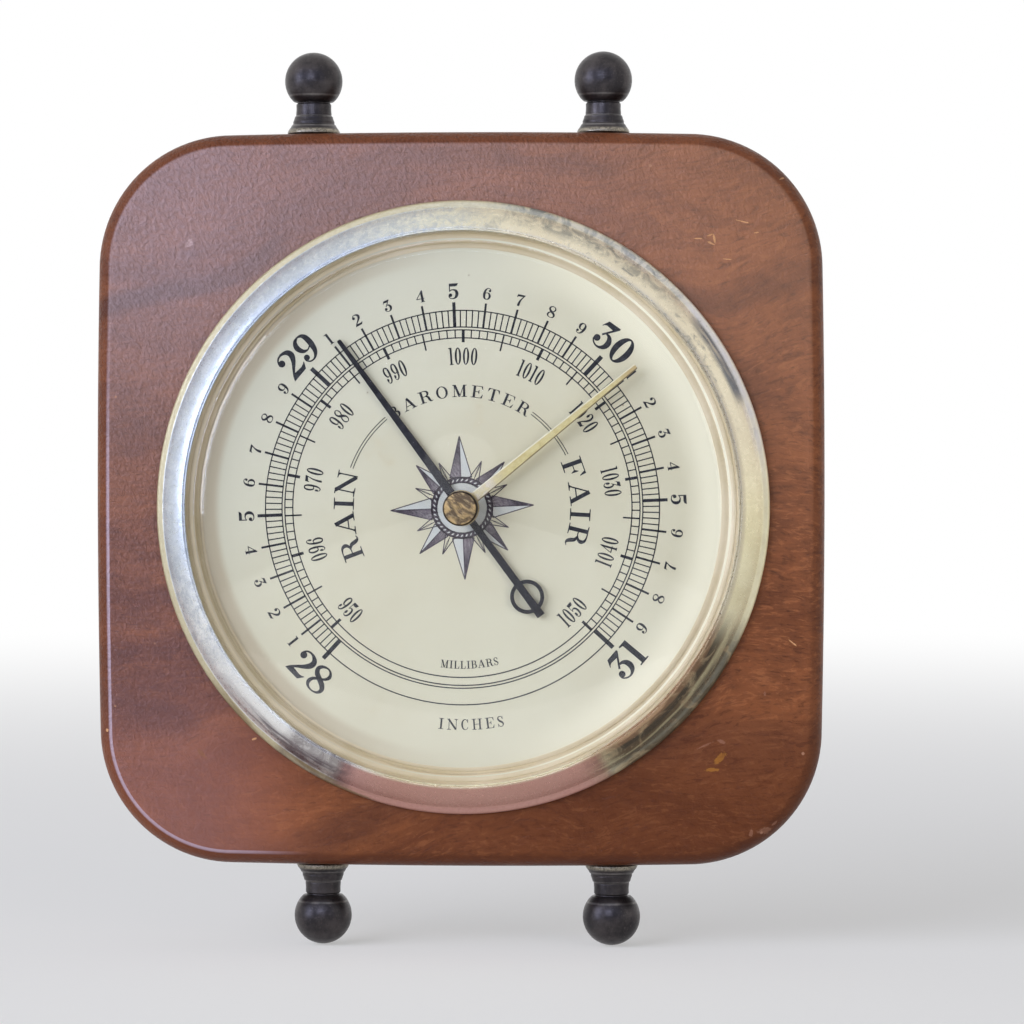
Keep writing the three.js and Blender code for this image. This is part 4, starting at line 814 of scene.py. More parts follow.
# Numbers and words. Bold printer's numerals with ball ends and serif capitals, printed round the dial in
# the same ink. Each is drawn one unit tall, as (width, outlines), from strokes that swell and thin.
def brush(path, closed=False, fine=5):
    """Outlines of a stroke along smooth curve points (x, y, width), each overlapping the next."""
    points = [Vector(p) for p in path]
    count = len(points)
    line = []
    for k in range(count if closed else count - 1):
        near = [points[(k + step) % count] if closed else points[min(max(k + step, 0), count - 1)]
                for step in (-1, 0, 1, 2)]
        for step in range(fine):
            t = step / fine
            line.append(0.5 * (2 * near[1] + (near[2] - near[0]) * t
                               + (2 * near[0] - 5 * near[1] + 4 * near[2] - near[3]) * t * t
                               + (3 * near[1] - near[0] - 3 * near[2] + near[3]) * t ** 3))
    line.append(line[0] if closed else points[-1])
    sides = []
    for k, point in enumerate(line):
        ahead = line[k + 1] if k + 1 < len(line) else (line[1] if closed else point)
        behind = line[k - 1] if k else (line[-2] if closed else point)
        along = (ahead - behind).to_2d().normalized()
        across = Vector((-along.y, along.x)) * max(point.z, 0.03) / 2
        sides.append((point.to_2d() + across, point.to_2d() - across))
    return [[a[1], b[1], b[0], a[0]] for a, b in zip(sides, sides[1:])]


def disc(x, y, radius, steps=18):
    return [[(x + radius * math.cos(2 * math.pi * k / steps), y + radius * math.sin(2 * math.pi * k / steps))
             for k in range(steps)]]


def oval(x, y, half_width, half_height, inner_half_width, inner_half_height, steps=36):
    """A closed bowl as a ring of four-sided outlines."""
    def at(k, a, b):
        angle = 2 * math.pi * k / steps
        return (x + a * math.cos(angle), y + b * math.sin(angle))
    return [[at(k, inner_half_width, inner_half_height), at(k, half_width, half_height),
             at(k + 1, half_width, half_height), at(k + 1, inner_half_width, inner_half_height)]
            for k in range(steps)]


def bar(x0, y0, x1, y1, width):
    return brush([(x0, y0, width), (x1, y1, width)], fine=1)


def slab(left, right, y, up):
    """A serif: a thin slab that thickens towards its stem."""
    third = (right - left) / 3
    outline = [(left, y), (right, y), (right, y + up * 0.045), (right - third, y + up * 0.06),
               ((left + right) / 2, y + up * 0.15), (left + third, y + up * 0.06), (left, y + up * 0.045)]
    return [outline if up > 0 else outline[::-1]]


NINE = (brush([(0.36, 0.97, 0.06), (0.19, 0.9, 0.13), (0.1, 0.7, 0.19), (0.17, 0.49, 0.14), (0.32, 0.41, 0.06),
               (0.47, 0.46, 0.05)])
        + brush([(0.36, 0.97, 0.06), (0.49, 0.91, 0.12), (0.56, 0.79, 0.18), (0.575, 0.62, 0.205),
                 (0.555, 0.42, 0.2), (0.49, 0.2, 0.15), (0.37, 0.07, 0.09), (0.25, 0.03, 0.06),
                 (0.12, 0.06, 0.055), (0.04, 0.17, 0.05), (0.05, 0.24, 0.06)])
        + disc(0.12, 0.235, 0.105))
NUMERALS = {
    "0": (0.67, oval(0.335, 0.5, 0.335, 0.5, 0.125, 0.44)),
    "1": (0.44, bar(0.23, 0.0, 0.23, 1.0, 0.2) + slab(0.03, 0.43, 0, 1)
          + [[(0.0, 0.945), (0.23, 0.9), (0.23, 1.0), (0.0, 1.0)]]),
    "2": (0.73, brush([(0.07, 0.74, 0.05), (0.12, 0.86, 0.055), (0.22, 0.945, 0.065), (0.36, 0.965, 0.075),
                       (0.49, 0.93, 0.12), (0.6, 0.84, 0.18), (0.63, 0.72, 0.205), (0.585, 0.6, 0.19),
                       (0.46, 0.45, 0.14), (0.29, 0.3, 0.095), (0.14, 0.15, 0.075), (0.06, 0.04, 0.06)])
          + disc(0.175, 0.742, 0.122)
          + [[(0, 0.0), (0.595, 0), (0.735, 0.2), (0.72, 0.225), (0.645, 0.182), (0.544, 0.16), (0.418, 0.17),
              (0.177, 0.2), (0.063, 0.09)]]),
    "3": (0.665, [[(0.116, 0.965), (0.0, 0.715), (0.02, 0.7), (0.07, 0.765), (0.14, 0.8), (0.44, 0.79),
                   (0.6, 1.0)]]
          + bar(0.575, 0.975, 0.2, 0.455, 0.07)
          + brush([(0.3, 0.565, 0.05), (0.42, 0.55, 0.11), (0.52, 0.46, 0.17), (0.565, 0.32, 0.2),
                   (0.53, 0.17, 0.17), (0.42, 0.065, 0.1), (0.29, 0.03, 0.06), (0.16, 0.065, 0.055),
                   (0.055, 0.16, 0.05), (0.05, 0.26, 0.06)]) + disc(0.135, 0.265, 0.118)),
    "4": (0.7, bar(0.57, 0.97, 0.035, 0.31, 0.065) + bar(0.0, 0.3, 0.7, 0.3, 0.065)
          + [[(0.42, 0.0), (0.62, 0.0), (0.62, 1.0), (0.54, 1.0), (0.42, 0.86)]] + slab(0.34, 0.7, 0, 1)),
    "5": (0.66, [[(0.06, 0.8), (0.45, 0.8), (0.57, 0.84), (0.655, 1.0), (0.06, 0.985)]]
          + bar(0.09, 0.99, 0.09, 0.48, 0.065)
          + brush([(0.085, 0.49, 0.05), (0.2, 0.575, 0.06), (0.34, 0.585, 0.09), (0.49, 0.52, 0.155),
                   (0.555, 0.34, 0.2), (0.5, 0.15, 0.16), (0.38, 0.05, 0.09), (0.26, 0.027, 0.06),
                   (0.13, 0.055, 0.055), (0.045, 0.14, 0.05), (0.045, 0.24, 0.06)]) + disc(0.135, 0.25, 0.115)),
    "6": (0.68, [[(0.68 - x, 1 - y) for x, y in outline] for outline in NINE]),
    "7": (0.7, [[(0.05, 0.97), (0.0, 0.71), (0.03, 0.7), (0.09, 0.77), (0.17, 0.81), (0.62, 0.84), (0.7, 1.0)]]
          + brush([(0.67, 0.97, 0.06), (0.54, 0.79, 0.08), (0.4, 0.56, 0.12), (0.32, 0.32, 0.18),
                   (0.29, 0.12, 0.21), (0.29, 0.0, 0.2)])),
    "8": (0.72, brush([(0.35, 0.97, 0.06), (0.16, 0.9, 0.11), (0.08, 0.76, 0.15), (0.16, 0.61, 0.17),
                       (0.35, 0.5, 0.18), (0.55, 0.385, 0.18), (0.64, 0.24, 0.15), (0.57, 0.09, 0.09),
                       (0.38, 0.025, 0.05), (0.17, 0.08, 0.09), (0.09, 0.22, 0.14), (0.15, 0.38, 0.11),
                       (0.33, 0.5, 0.08), (0.5, 0.61, 0.09), (0.58, 0.76, 0.125), (0.51, 0.91, 0.08)], True)),
    "9": (0.68, NINE),
}
CAPITALS = {
    "A": (1.18, bar(0.6, 0.99, 0.97, 0.03, 0.2) + bar(0.57, 0.93, 0.2, 0.03, 0.07)
          + bar(0.34, 0.33, 0.82, 0.33, 0.06) + slab(0, 0.42, 0, 1) + slab(0.7, 1.18, 0, 1)),
    "B": (0.92, bar(0.25, 0, 0.25, 1, 0.2) + slab(0, 0.42, 0, 1) + slab(0, 0.42, 1, -1)
          + brush([(0.25, 0.97, 0.06), (0.5, 0.968, 0.06), (0.68, 0.9, 0.12), (0.73, 0.76, 0.17),
                   (0.67, 0.61, 0.12), (0.5, 0.53, 0.055), (0.3, 0.53, 0.05)])
          + brush([(0.4, 0.53, 0.05), (0.6, 0.52, 0.07), (0.78, 0.41, 0.15), (0.81, 0.27, 0.19),
                   (0.73, 0.11, 0.12), (0.52, 0.032, 0.06), (0.25, 0.03, 0.06)])),
    "C": (0.86, brush([(0.73, 0.72, 0.05), (0.67, 0.88, 0.07), (0.47, 0.97, 0.06), (0.23, 0.85, 0.13),
                       (0.12, 0.5, 0.2), (0.23, 0.15, 0.13), (0.47, 0.03, 0.055), (0.68, 0.1, 0.05),
                       (0.79, 0.27, 0.045)]) + bar(0.76, 0.99, 0.76, 0.66, 0.06)),
    "E": (1.0, bar(0.26, 0, 0.26, 1, 0.2) + slab(0, 0.5, 0, 1) + slab(0, 0.5, 1, -1)
          + bar(0.2, 0.975, 0.93, 0.975, 0.05) + bar(0.2, 0.025, 0.95, 0.025, 0.05)
          + bar(0.3, 0.51, 0.64, 0.51, 0.05)
          + [[(0.8, 0.96), (0.94, 0.7), (0.97, 0.7), (0.93, 1.0)], [(0.94, 0.0), (1.0, 0.33), (0.97, 0.33),
              (0.8, 0.04)], [(0.56, 0.51), (0.65, 0.34), (0.68, 0.34), (0.68, 0.68), (0.65, 0.68)]]),
    "F": (0.98, bar(0.28, 0, 0.28, 1, 0.21) + slab(0.02, 0.58, 0, 1) + slab(0.02, 0.5, 1, -1)
          + bar(0.2, 0.975, 0.93, 0.975, 0.05) + bar(0.3, 0.5, 0.7, 0.5, 0.05)
          + [[(0.78, 0.96), (0.93, 0.68), (0.97, 0.68), (0.93, 1.0)],
             [(0.6, 0.5), (0.7, 0.32), (0.73, 0.32), (0.73, 0.68), (0.7, 0.68)]]),
    "H": (1.14, bar(0.24, 0, 0.24, 1, 0.18) + bar(0.9, 0, 0.9, 1, 0.18) + bar(0.2, 0.5, 0.9, 0.5, 0.05)
          + slab(0, 0.48, 0, 1) + slab(0.66, 1.14, 0, 1) + slab(0, 0.48, 1, -1) + slab(0.66, 1.14, 1, -1)),
    "I": (0.58, bar(0.29, 0, 0.29, 1, 0.2) + slab(0, 0.58, 0, 1) + slab(0, 0.58, 1, -1)),
    "L": (0.88, bar(0.26, 0, 0.26, 1, 0.2) + slab(0, 0.52, 0, 1) + slab(0, 0.52, 1, -1)
          + bar(0.2, 0.025, 0.83, 0.025, 0.05) + [[(0.82, 0.0), (0.88, 0.36), (0.85, 0.36), (0.68, 0.04)]]),
    "M": (1.26, bar(0.2, 0, 0.2, 1, 0.06) + bar(0.24, 0.98, 0.64, 0.03, 0.19) + bar(0.64, 0.03, 0.98, 0.95, 0.06)
          + bar(1.02, 0, 1.02, 1, 0.19) + slab(0.02, 0.4, 0, 1) + slab(0.78, 1.26, 0, 1)
          + slab(0.02, 0.3, 1, -1) + slab(0.96, 1.24, 1, -1)),
    "N": (1.2, bar(0.22, 0, 0.22, 0.95, 0.065) + bar(0.17, 0.97, 1.0, 0.05, 0.19) + bar(1.03, 0, 1.03, 1, 0.065)
          + slab(0, 0.46, 0, 1) + slab(0.0, 0.3, 1, -1) + slab(0.8, 1.2, 1, -1)),
    "O": (0.98, oval(0.49, 0.5, 0.49, 0.51, 0.3, 0.45)),
    "R": (1.16, bar(0.28, 0, 0.28, 1, 0.2) + slab(0.02, 0.56, 0, 1) + slab(0.02, 0.46, 1, -1)
          + brush([(0.28, 0.97, 0.06), (0.55, 0.968, 0.065), (0.76, 0.9, 0.13), (0.83, 0.74, 0.19),
                   (0.75, 0.59, 0.13), (0.56, 0.52, 0.06), (0.35, 0.515, 0.055)])
          + brush([(0.6, 0.52, 0.07), (0.78, 0.42, 0.17), (0.84, 0.25, 0.2), (0.91, 0.09, 0.16),
                   (1.02, 0.03, 0.07), (1.14, 0.08, 0.04)])),
    "S": (0.7, brush([(0.58, 0.72, 0.045), (0.52, 0.9, 0.06), (0.35, 0.97, 0.06), (0.16, 0.9, 0.1),
                      (0.1, 0.75, 0.15), (0.2, 0.59, 0.17), (0.38, 0.48, 0.18), (0.55, 0.36, 0.17),
                      (0.6, 0.22, 0.14), (0.51, 0.07, 0.07), (0.34, 0.028, 0.06), (0.16, 0.1, 0.06),
                      (0.08, 0.28, 0.045)])
          + bar(0.61, 0.99, 0.61, 0.68, 0.05) + bar(0.05, 0.32, 0.05, 0.01, 0.05)),
    "T": (1.0, bar(0.5, 0, 0.5, 1, 0.2) + slab(0.22, 0.78, 0, 1) + bar(0.03, 0.975, 0.97, 0.975, 0.05)
          + [[(0.03, 1.0), (0.0, 0.68), (0.03, 0.68), (0.18, 0.96)], [(0.82, 0.96), (0.97, 0.68), (1.0, 0.68),
              (0.97, 1.0)]]),
}


def counter_clockwise(outline):
    doubled = sum(a[0] * b[1] - b[0] * a[1] for a, b in zip(outline, outline[1:] + outline[:1]))
    return outline if doubled > 0 else outline[::-1]


def set_text(text, letters, height, radius, middle, gap, inverted=False, narrow=1.0):
    """Characters of a word on an arc. Inverted ones have their tops towards the dial's middle."""
    widths = [letters[c][0] * height * narrow for c in text]
    sign = -1 if inverted else 1
    start = -(sum(widths) + gap * (len(text) - 1)) / 2
    parts = []
    for character, width in zip(text, widths):
        degrees = middle + sign * math.degrees((start + width / 2) / radius)
        out = Vector(polar(1, degrees)) * sign
        right = Vector((out.y, -out.x))
        base = Vector(polar(radius, degrees))
        outlines = [counter_clockwise([base + right * (x * height * narrow - width / 2) + out * (y - 0.5) * height
                                       for x, y in outline]) for outline in letters[character][1]]
        parts.append(flat_plate(outlines, INK_BACK, INK_FRONT))
        start += width + gap
    return joined(parts)


# Below, (height, radius) of each kind of number. Those in the lower part of the dial are inverted.
WHOLE_INCH, WHOLE_INCH_GAP = (6.0, 46.6), 0.5
HALF_INCH, TENTH, INVERTED_TENTH = (3.25, 45.1), (2.45, 44.8), (2.45, 45.0)
MILLIBAR, MILLIBAR_GAP, MILLIBAR_NARROWING = (3.55, 31.65), 0.36, 0.56
numbers = [set_text(str(value), NUMERALS, *WHOLE_INCH, dial_angle(value), WHOLE_INCH_GAP, value in (28, 31))
           for value in (28, 29, 30, 31)]
for count in range(1, 30):
    value = LOWEST_INCHES + count / 10
    inverted = value < 28.45 or value > 30.55
    if count % 10 == 5:
        numbers.append(set_text("5", NUMERALS, *HALF_INCH, dial_angle(value), 0))
    elif count % 10:
        numbers.append(set_text(str(count % 10), NUMERALS, *(INVERTED_TENTH if inverted else TENTH),
                                dial_angle(value), 0, inverted))
print_on_dial("inch_numbers", numbers)
print_on_dial("millibar_numbers", [
    set_text(str(value), NUMERALS, *MILLIBAR, dial_angle(value / MILLIBARS_PER_INCH), MILLIBAR_GAP,
             value < 965 or value > 1035, MILLIBAR_NARROWING) for value in range(950, 1051, 10)])

# (word, height, radius, middle, gap, inverted, narrowing) and (start, end) of the double arcs of line
WORDS = [("RAIN", 4.2, 24.8, -94.2, 0.55, False, 1.0), ("FAIR", 4.25, 24.75, 87.4, 0.8, False, 1.0),
         ("BAROMETER", 2.5, 24.45, -1.5, 0.9, False, 1.0), ("MILLIBARS", 1.62, 32.8, 177.3, 0.16, True, 0.82),
         ("INCHES", 2.25, 45.2, 177.6, 0.7, True, 0.82)]
ARC_LINES = ((-70.3, -40.3), (36.4, 63.1))
ARC_LINE_RADII, ARC_LINE_WIDTH = (24.3, 24.85), 0.17
print_on_dial("dial_words", [set_text(word, CAPITALS, *setting) for word, *setting in WORDS] + [
    printed_ring(radius, ARC_LINE_WIDTH, start, end) for start, end in ARC_LINES for radius in ARC_LINE_RADII])


# Compass rose. A printed star of eight points, each half dark and half pale, round a rope ring, with
# eight small leaves between the points. It is printed in thin greys under fine dark lines.
ROSE_RING_OUTER, ROSE_RING_INNER, ROSE_RING_LINE = 6.6, 5.45, 0.2
ROSE_LINE = 0.21
ROSE_TINT_FRONT = DIAL_FACE + 0.012
# (tip's radius, half width at the root)
LONG_POINT, SHORT_POINT, POINT_ROOT = (15.1, 2.35), (13.2, 1.95), 6.5
POINT_HATCHES, HATCH_WIDTH, HATCH_REACH = 7, 0.13, 0.86
LEAF_TIP, LEAF_ROOT, LEAF_HALF_WIDTH, LEAF_LEAN, LEAF_VEIN = 10.7, 6.4, 1.1, 25, 0.12
HUB_RADIUS = 2.2
ROPE_TURNS, ROPE_MARGIN, ROPE_SLANT, ROPE_LINE = 38, 0.1, 0.22, 0.16
BEAD_FRONT = INK_FRONT + 0.01


def rose_point(degrees, tip, root, half_width):
    """Both halves of one point: outlines of the one before its middle line and of the one after."""
    out, side = directions(degrees)
    foot_before = out * root - side * half_width
    foot_after = out * root + side * half_width
    return [foot_before, out * root, out * tip], [out * root, foot_after, out * tip]


def outline_strokes(outline, width):
    """Ink strokes along the sides of an outline."""
    around = [Vector(p) for p in outline]
    made = []
    for a, b in zip(around, around[1:] + around[:1]):
        along = (b - a).normalized()
        side = Vector((-along.y, along.x)) * width / 2
        made.append(counter_clockwise([a - side, b - side, b + side, a + side]))
    return made


def line_stroke(start, end, width):
    return outline_strokes([start, end], width)[:1]


rose_dark, rose_pale, rose_line = [], [], []
for count in range(8):
    tip, half_width = LONG_POINT if count % 2 == 0 else SHORT_POINT
    before, after = rose_point(count * 45 + PRINT_TURN, tip, POINT_ROOT, half_width)
    rose_dark.append(counter_clockwise(before))
    rose_pale.append(counter_clockwise(after))
    rose_line += outline_strokes(before, ROSE_LINE) + outline_strokes(after, ROSE_LINE)
    for line in range(1, POINT_HATCHES):
        root = before[0].lerp(before[1], line / POINT_HATCHES)
        rose_line += line_stroke(root, root.lerp(before[2], HATCH_REACH), HATCH_WIDTH)
for quarter in range(4):
    for lean in (-LEAF_LEAN, LEAF_LEAN):
        before, after = rose_point(quarter * 90 + lean + PRINT_TURN, LEAF_TIP, LEAF_ROOT, LEAF_HALF_WIDTH)
        rose_line += line_stroke(before[0], before[2], ROSE_LINE) + line_stroke(after[1], after[2], ROSE_LINE)
        for tip, foot in ((before[2], before[0]), (after[2], after[1])):
            inner = tip * 0.72 + foot * 0.1
            rose_line += line_stroke(tip * 0.98, inner, LEAF_VEIN)
            rose_line += line_stroke(inner, tip.normalized() * (ROSE_RING_OUTER + ROPE_MARGIN), LEAF_VEIN)


def tinted_ink(name, light, dark, scale):
    finish = Finish(name)
    hatch = finish.place.noise((scale, scale, scale * 0.35), 2.0, 0.6, turn=40)
    return finish.done(painted(light, (hatch.span(0.35, 0.65), dark)), 0.6, Specular_IOR_Level=0.2)


def tinted_plates(halves):
    """A thin plate for each half of a point."""
    return [flat_plate([outline], INK_BACK, ROSE_TINT_FRONT) for outline in halves]


make_piece("rose_dark_halves", joined(tinted_plates(rose_dark)),
           tinted_ink("hatched_ink", (182, 174, 178), (140, 131, 140), 3000), "case")
pale_parts = tinted_plates(rose_pale)
pale_parts.append(printed_ring((ROSE_RING_INNER + HUB_RADIUS) / 2, ROSE_RING_INNER - HUB_RADIUS, pitch=4))
for count in range(ROPE_TURNS):
    angle = count * 360 / ROPE_TURNS
    out, side = directions(angle)
    middle = out * (ROSE_RING_INNER + ROSE_RING_OUTER) / 2
    long_way = (side * 0.75 + out * 0.65) * 0.34
    short_way = Vector((-long_way.y, long_way.x)) * 0.4
    bead_edge = [middle + long_way * math.cos(k * math.pi / 6) + short_way * math.sin(k * math.pi / 6)
                 for k in range(12)]
    pale_parts.append(flat_plate([counter_clockwise(bead_edge)], INK_BACK, BEAD_FRONT))
    out, side = directions(angle + 180 / ROPE_TURNS)
    rose_line += line_stroke(out * (ROSE_RING_INNER + ROPE_MARGIN) - side * ROPE_SLANT,
                             out * (ROSE_RING_OUTER - ROPE_MARGIN) + side * ROPE_SLANT, ROPE_LINE)
make_piece("rose_pale_parts", joined(pale_parts), tinted_ink("pale_tint", (216, 218, 214), (208, 212, 212), 600),
           "case")
rope = printed_ring((ROSE_RING_INNER + ROSE_RING_OUTER) / 2, ROSE_RING_OUTER - ROSE_RING_INNER, pitch=4)
make_piece("rose_rope", rope, tinted_ink("rope_ink", (112, 103, 112), (84, 76, 86), 2600), "case")
make_piece("rose_lines", joined([flat_plate(rose_line, INK_BACK, INK_FRONT),
                                 printed_ring(ROSE_RING_INNER, ROSE_RING_LINE, pitch=4),
                                 printed_ring(ROSE_RING_OUTER, ROSE_RING_LINE, pitch=4)]),
           tinted_ink("rose_ink", (66, 60, 68), (92, 84, 94), 2000), "case")


# Sight ring. A thin reflector spun from brass and lacquered cream, with two fine grooves. It slopes from
# the lens's rim down to the dial and hides the dial's edge; the lens holds it against the can.
SIGHT_RING_PROFILE = [(54.8, 20.4), (58.0, 21.15), (58.9, 21.15), (58.9, 21.5), (58.0, 21.5), (57.3, 21.34),
                      (57.18, 21.14), (57.04, 21.27), (56.3, 21.1), (56.17, 20.9), (56.04, 21.03), (54.8, 20.75)]


def ring_lacquer():
    finish = Finish("ring_lacquer")
    cloud = finish.place.noise(60.0, 4.0, 0.6)
    return finish.done(painted((228, 212, 182), (cloud.span(0.3, 0.7), (210, 193, 156))),
                       cloud.span(0.3, 0.7, 0.3, 0.42), Specular_IOR_Level=0.5)


sight_ring = make_piece("spun_sight_ring", turned(eased(SIGHT_RING_PROFILE, 0.12, 2), 180), ring_lacquer(),
                        "case")
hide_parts("sight_ring")


# Pointer. Punched from thin sheet and enamelled black: a long taper, a hub, and a ring and a square tail
# that balance it. Its brass boss is pressed on the arbor.
POINTER_DIRECTION = -36.4
POINTER_BACK, POINTER_FRONT = 21.2, 21.6
POINTER_BLADE = [(-1.0, 0), (1.0, 0), (0.45, 43.1), (0.25, 43.3), (-0.25, 43.3), (-0.45, 43.1)]
POINTER_TAIL = [(-0.77, 0), (-0.77, -23), (-0.9, -27.9), (0.9, -27.9), (0.77, -23), (0.77, 0)]
POINTER_HUB, POINTER_RING = disc(0, 0, 2.4, 48), oval(0, -23, 3.54, 3.54, 2.75, 2.75, 72)
BOSS_PROFILE = [(0.75, 21.55), (1.5, 21.55), (1.5, 21.9), (0.75, 21.9)]


def black_enamel():
    finish = Finish("pointer_enamel")
    cloud = finish.place.noise(700.0, 3.0, 0.6)
    return finish.done(painted((32, 32, 38), (cloud.span(0.35, 0.7), (50, 49, 55))),
                       cloud.span(0.3, 0.7, 0.38, 0.5), (cloud, 0.01, 0.4), Specular_IOR_Level=0.2)


def hand_outlines(degrees, outlines):
    """Turns outlines that are drawn pointing up to a hand's own direction."""
    out, side = directions(degrees)
    return [counter_clockwise([side * p[0] + out * p[1] for p in outline]) for outline in outlines]


def bevelled(piece, width, segments=2):
    """Breaks the punched edges of a flat piece."""
    modifier = piece.modifiers.new("broken_edges", "BEVEL")
    modifier.width = width * MM
    modifier.segments = segments
    modifier.limit_method = "ANGLE"
    modifier.angle_limit = math.radians(40)
    modifier.harden_normals = True


pointer_outlines = hand_outlines(POINTER_DIRECTION, [POINTER_BLADE, POINTER_TAIL] + POINTER_HUB + POINTER_RING)
pointer_hand = make_piece("enamelled_pointer", flat_plate(pointer_outlines, POINTER_BACK, POINTER_FRONT),
                          black_enamel(), "pointer")
bevelled(pointer_hand, 0.06)
make_piece("pointer_boss", turned(eased(BOSS_PROFILE, 0.1, 2), 48), brass, "pointer")
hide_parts("pointer_hand")


# Lens. Moulded in clear acrylic: a flat raised front with a fine ridge round it, a sloping shoulder and a
# thin rim that the bezel's lip holds down.
LENS_PROFILE = [(1.7, 24.0), (53.2, 24.0), (53.8, 23.84), (57.0, 21.95), (57.7, 21.6), (58.9, 21.6),
                (58.9, 23.7), (58.6, 24.0), (57.1, 24.0), (55.35, 25.92), (54.9, 25.93), (54.0, 25.8),
                (1.7, 25.8)]


def clear_acrylic():
    """Glass to the eye, and plainly clear to the light that falls on the dial behind it."""
    finish = Finish("clear_acrylic")
    tree, place = finish.tree, finish.place
    smear = place.noise(38.0, 5.0, 0.65).span(0.4, 0.75, 0.012, 0.05)
    scratch = place.noise((4000, 300, 220), 2.0, turn=35)
    shader = put(tree, "BsdfPrincipled", {"Base Color": (0.985, 0.99, 0.985, 1), "Transmission Weight": 1.0,
                                          "IOR": 1.49, "Roughness": smear, "Normal": bumped(scratch, 0.002, 0.2)})
    through = put(tree, "BsdfTransparent", {"Color": (0.97, 0.975, 0.965, 1)})
    path = put(tree, "LightPath")
    lit = put(tree, "MixShader", {0: path.outputs["Is Shadow Ray"], 1: shader.outputs[0], 2: through.outputs[0]})
    both = put(tree, "MixShader", {0: path.outputs["Is Diffuse Ray"], 1: lit.outputs[0], 2: through.outputs[0]})
    put(tree, "OutputMaterial", {"Surface": both.outputs[0]})
    return finish.material


lens = make_piece("moulded_lens", turned(eased(LENS_PROFILE, 0.4, 5), 256), clear_acrylic(), "case",
                  24)
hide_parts("lens")


# Set hand and knob. The hand is punched from pale brass and rides on the knob's stem between the lens and
# its rivet; the knob in front is brass gone brown and patchy from fingers.
SET_HAND_DIRECTION = 50.9
SET_HAND_BACK, SET_HAND_FRONT = 22.9, 23.3
SET_HAND_HALF_WIDTH, SET_HAND_TAPER = 1.2, 0.0139
SET_HAND_BLADE = [(-SET_HAND_HALF_WIDTH, 0), (SET_HAND_HALF_WIDTH, 0), (0.7, 36), (0.56, 46.45), (0.44, 46.6),
                  (-0.44, 46.6), (-0.56, 46.45), (-0.7, 36)]
SET_HAND_HUB = oval(0, 0, 3.8, 3.8, 1.45, 1.45, 64)
KNOB_PROFILE = [(0, 22.3), (2.0, 22.3), (2.0, 22.75), (1.4, 22.8), (1.4, 26.1), (3.45, 26.1), (3.6, 26.3),
                (3.6, 28.6), (3.42, 28.96), (3.1, 29.05), (1.6, 29.09), (0, 29.1)]


def set_hand_brass():
    """Pale brass with a painted highlight on its upper edge and a painted shadow on its lower edge, a
    tip darkened by wear, and a hub painted darker as shade under the knob.
    """
    finish = Finish("set_hand_brass")
    place = finish.place
    reach = place.vector("DISTANCE", (0, -0.023, 0), "Value")
    cloud = place.noise(500.0, 4.0, 0.6)
    near_hub = reach.span(0.013, 0.006) * cloud.span(0.4, 0.6, 0.3, 1.0)
    _, side = directions(SET_HAND_DIRECTION)
    beside = place.vector("DOT_PRODUCT", (side.x, 0, side.y), "Value")
    half_width = SET_HAND_HALF_WIDTH * MM - reach * SET_HAND_TAPER
    # Painted shadow along the lower edge and painted highlight along the upper edge.
    painted_edge_shadow = (beside - half_width).span(-0.3 * MM, -0.14 * MM)
    painted_edge_highlight = (beside + half_width).span(0.34 * MM, 0.16 * MM)
    tone = painted((240, 226, 170), (cloud.span(0.35, 0.7), (220, 202, 142)), (near_hub, (236, 226, 208)),
                   # Painted highlight on the upper edge.
                   (reach.span(0.0395, 0.0455, 0.0, 0.7), (198, 170, 122)), (painted_edge_highlight * 0.8, (255, 250, 228)),
                   # Painted shadow on the lower edge, and painted shade: the hub darker where the knob sits over
                   # it.
                   (painted_edge_shadow * 0.85, (112, 94, 66)), (reach.span(0.0044, 0.0036), (190, 168, 124)))
    return finish.done(tone, cloud.span(0.3, 0.7, 0.3, 0.42), (cloud, 0.02, 0.4), Metallic=0.5)


def fingered_brass():
    finish = Finish("fingered_brass")
    cloud = finish.place.noise((300, 300, 520), 3.0, 0.55, 0.8, turn=-32)
    fine = finish.place.noise((620, 620, 2200), 3.0, 0.6, turn=-32)
    rim = from_axis(finish.place).span(0.00318, 0.00336, 0.0, 0.95)
    tone = painted((104, 88, 68), (cloud.span(0.42, 0.6), (200, 170, 118)),
                   (fine.span(0.5, 0.72, 0.0, 0.55), (216, 192, 144)),
                   (fine.span(0.42, 0.28, 0.0, 0.6), (84, 68, 54)), (rim, (40, 28, 20)))
    return finish.done(tone, cloud.span(0.35, 0.65, 0.48, 0.3), (cloud + fine, 0.16, 0.8), Metallic=0.7)


set_hand_outlines = hand_outlines(SET_HAND_DIRECTION, [SET_HAND_BLADE] + SET_HAND_HUB)
set_hand = make_piece("punched_set_hand", flat_plate(set_hand_outlines, SET_HAND_BACK, SET_HAND_FRONT),
                      set_hand_brass(), "setter")
bevelled(set_hand, 0.07)
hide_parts("set_hand")
knob = make_piece("brass_knob", turned(eased(KNOB_PROFILE, 0.14, 3), 96), fingered_brass(), "setter",
                  45)
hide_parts("set_knob")


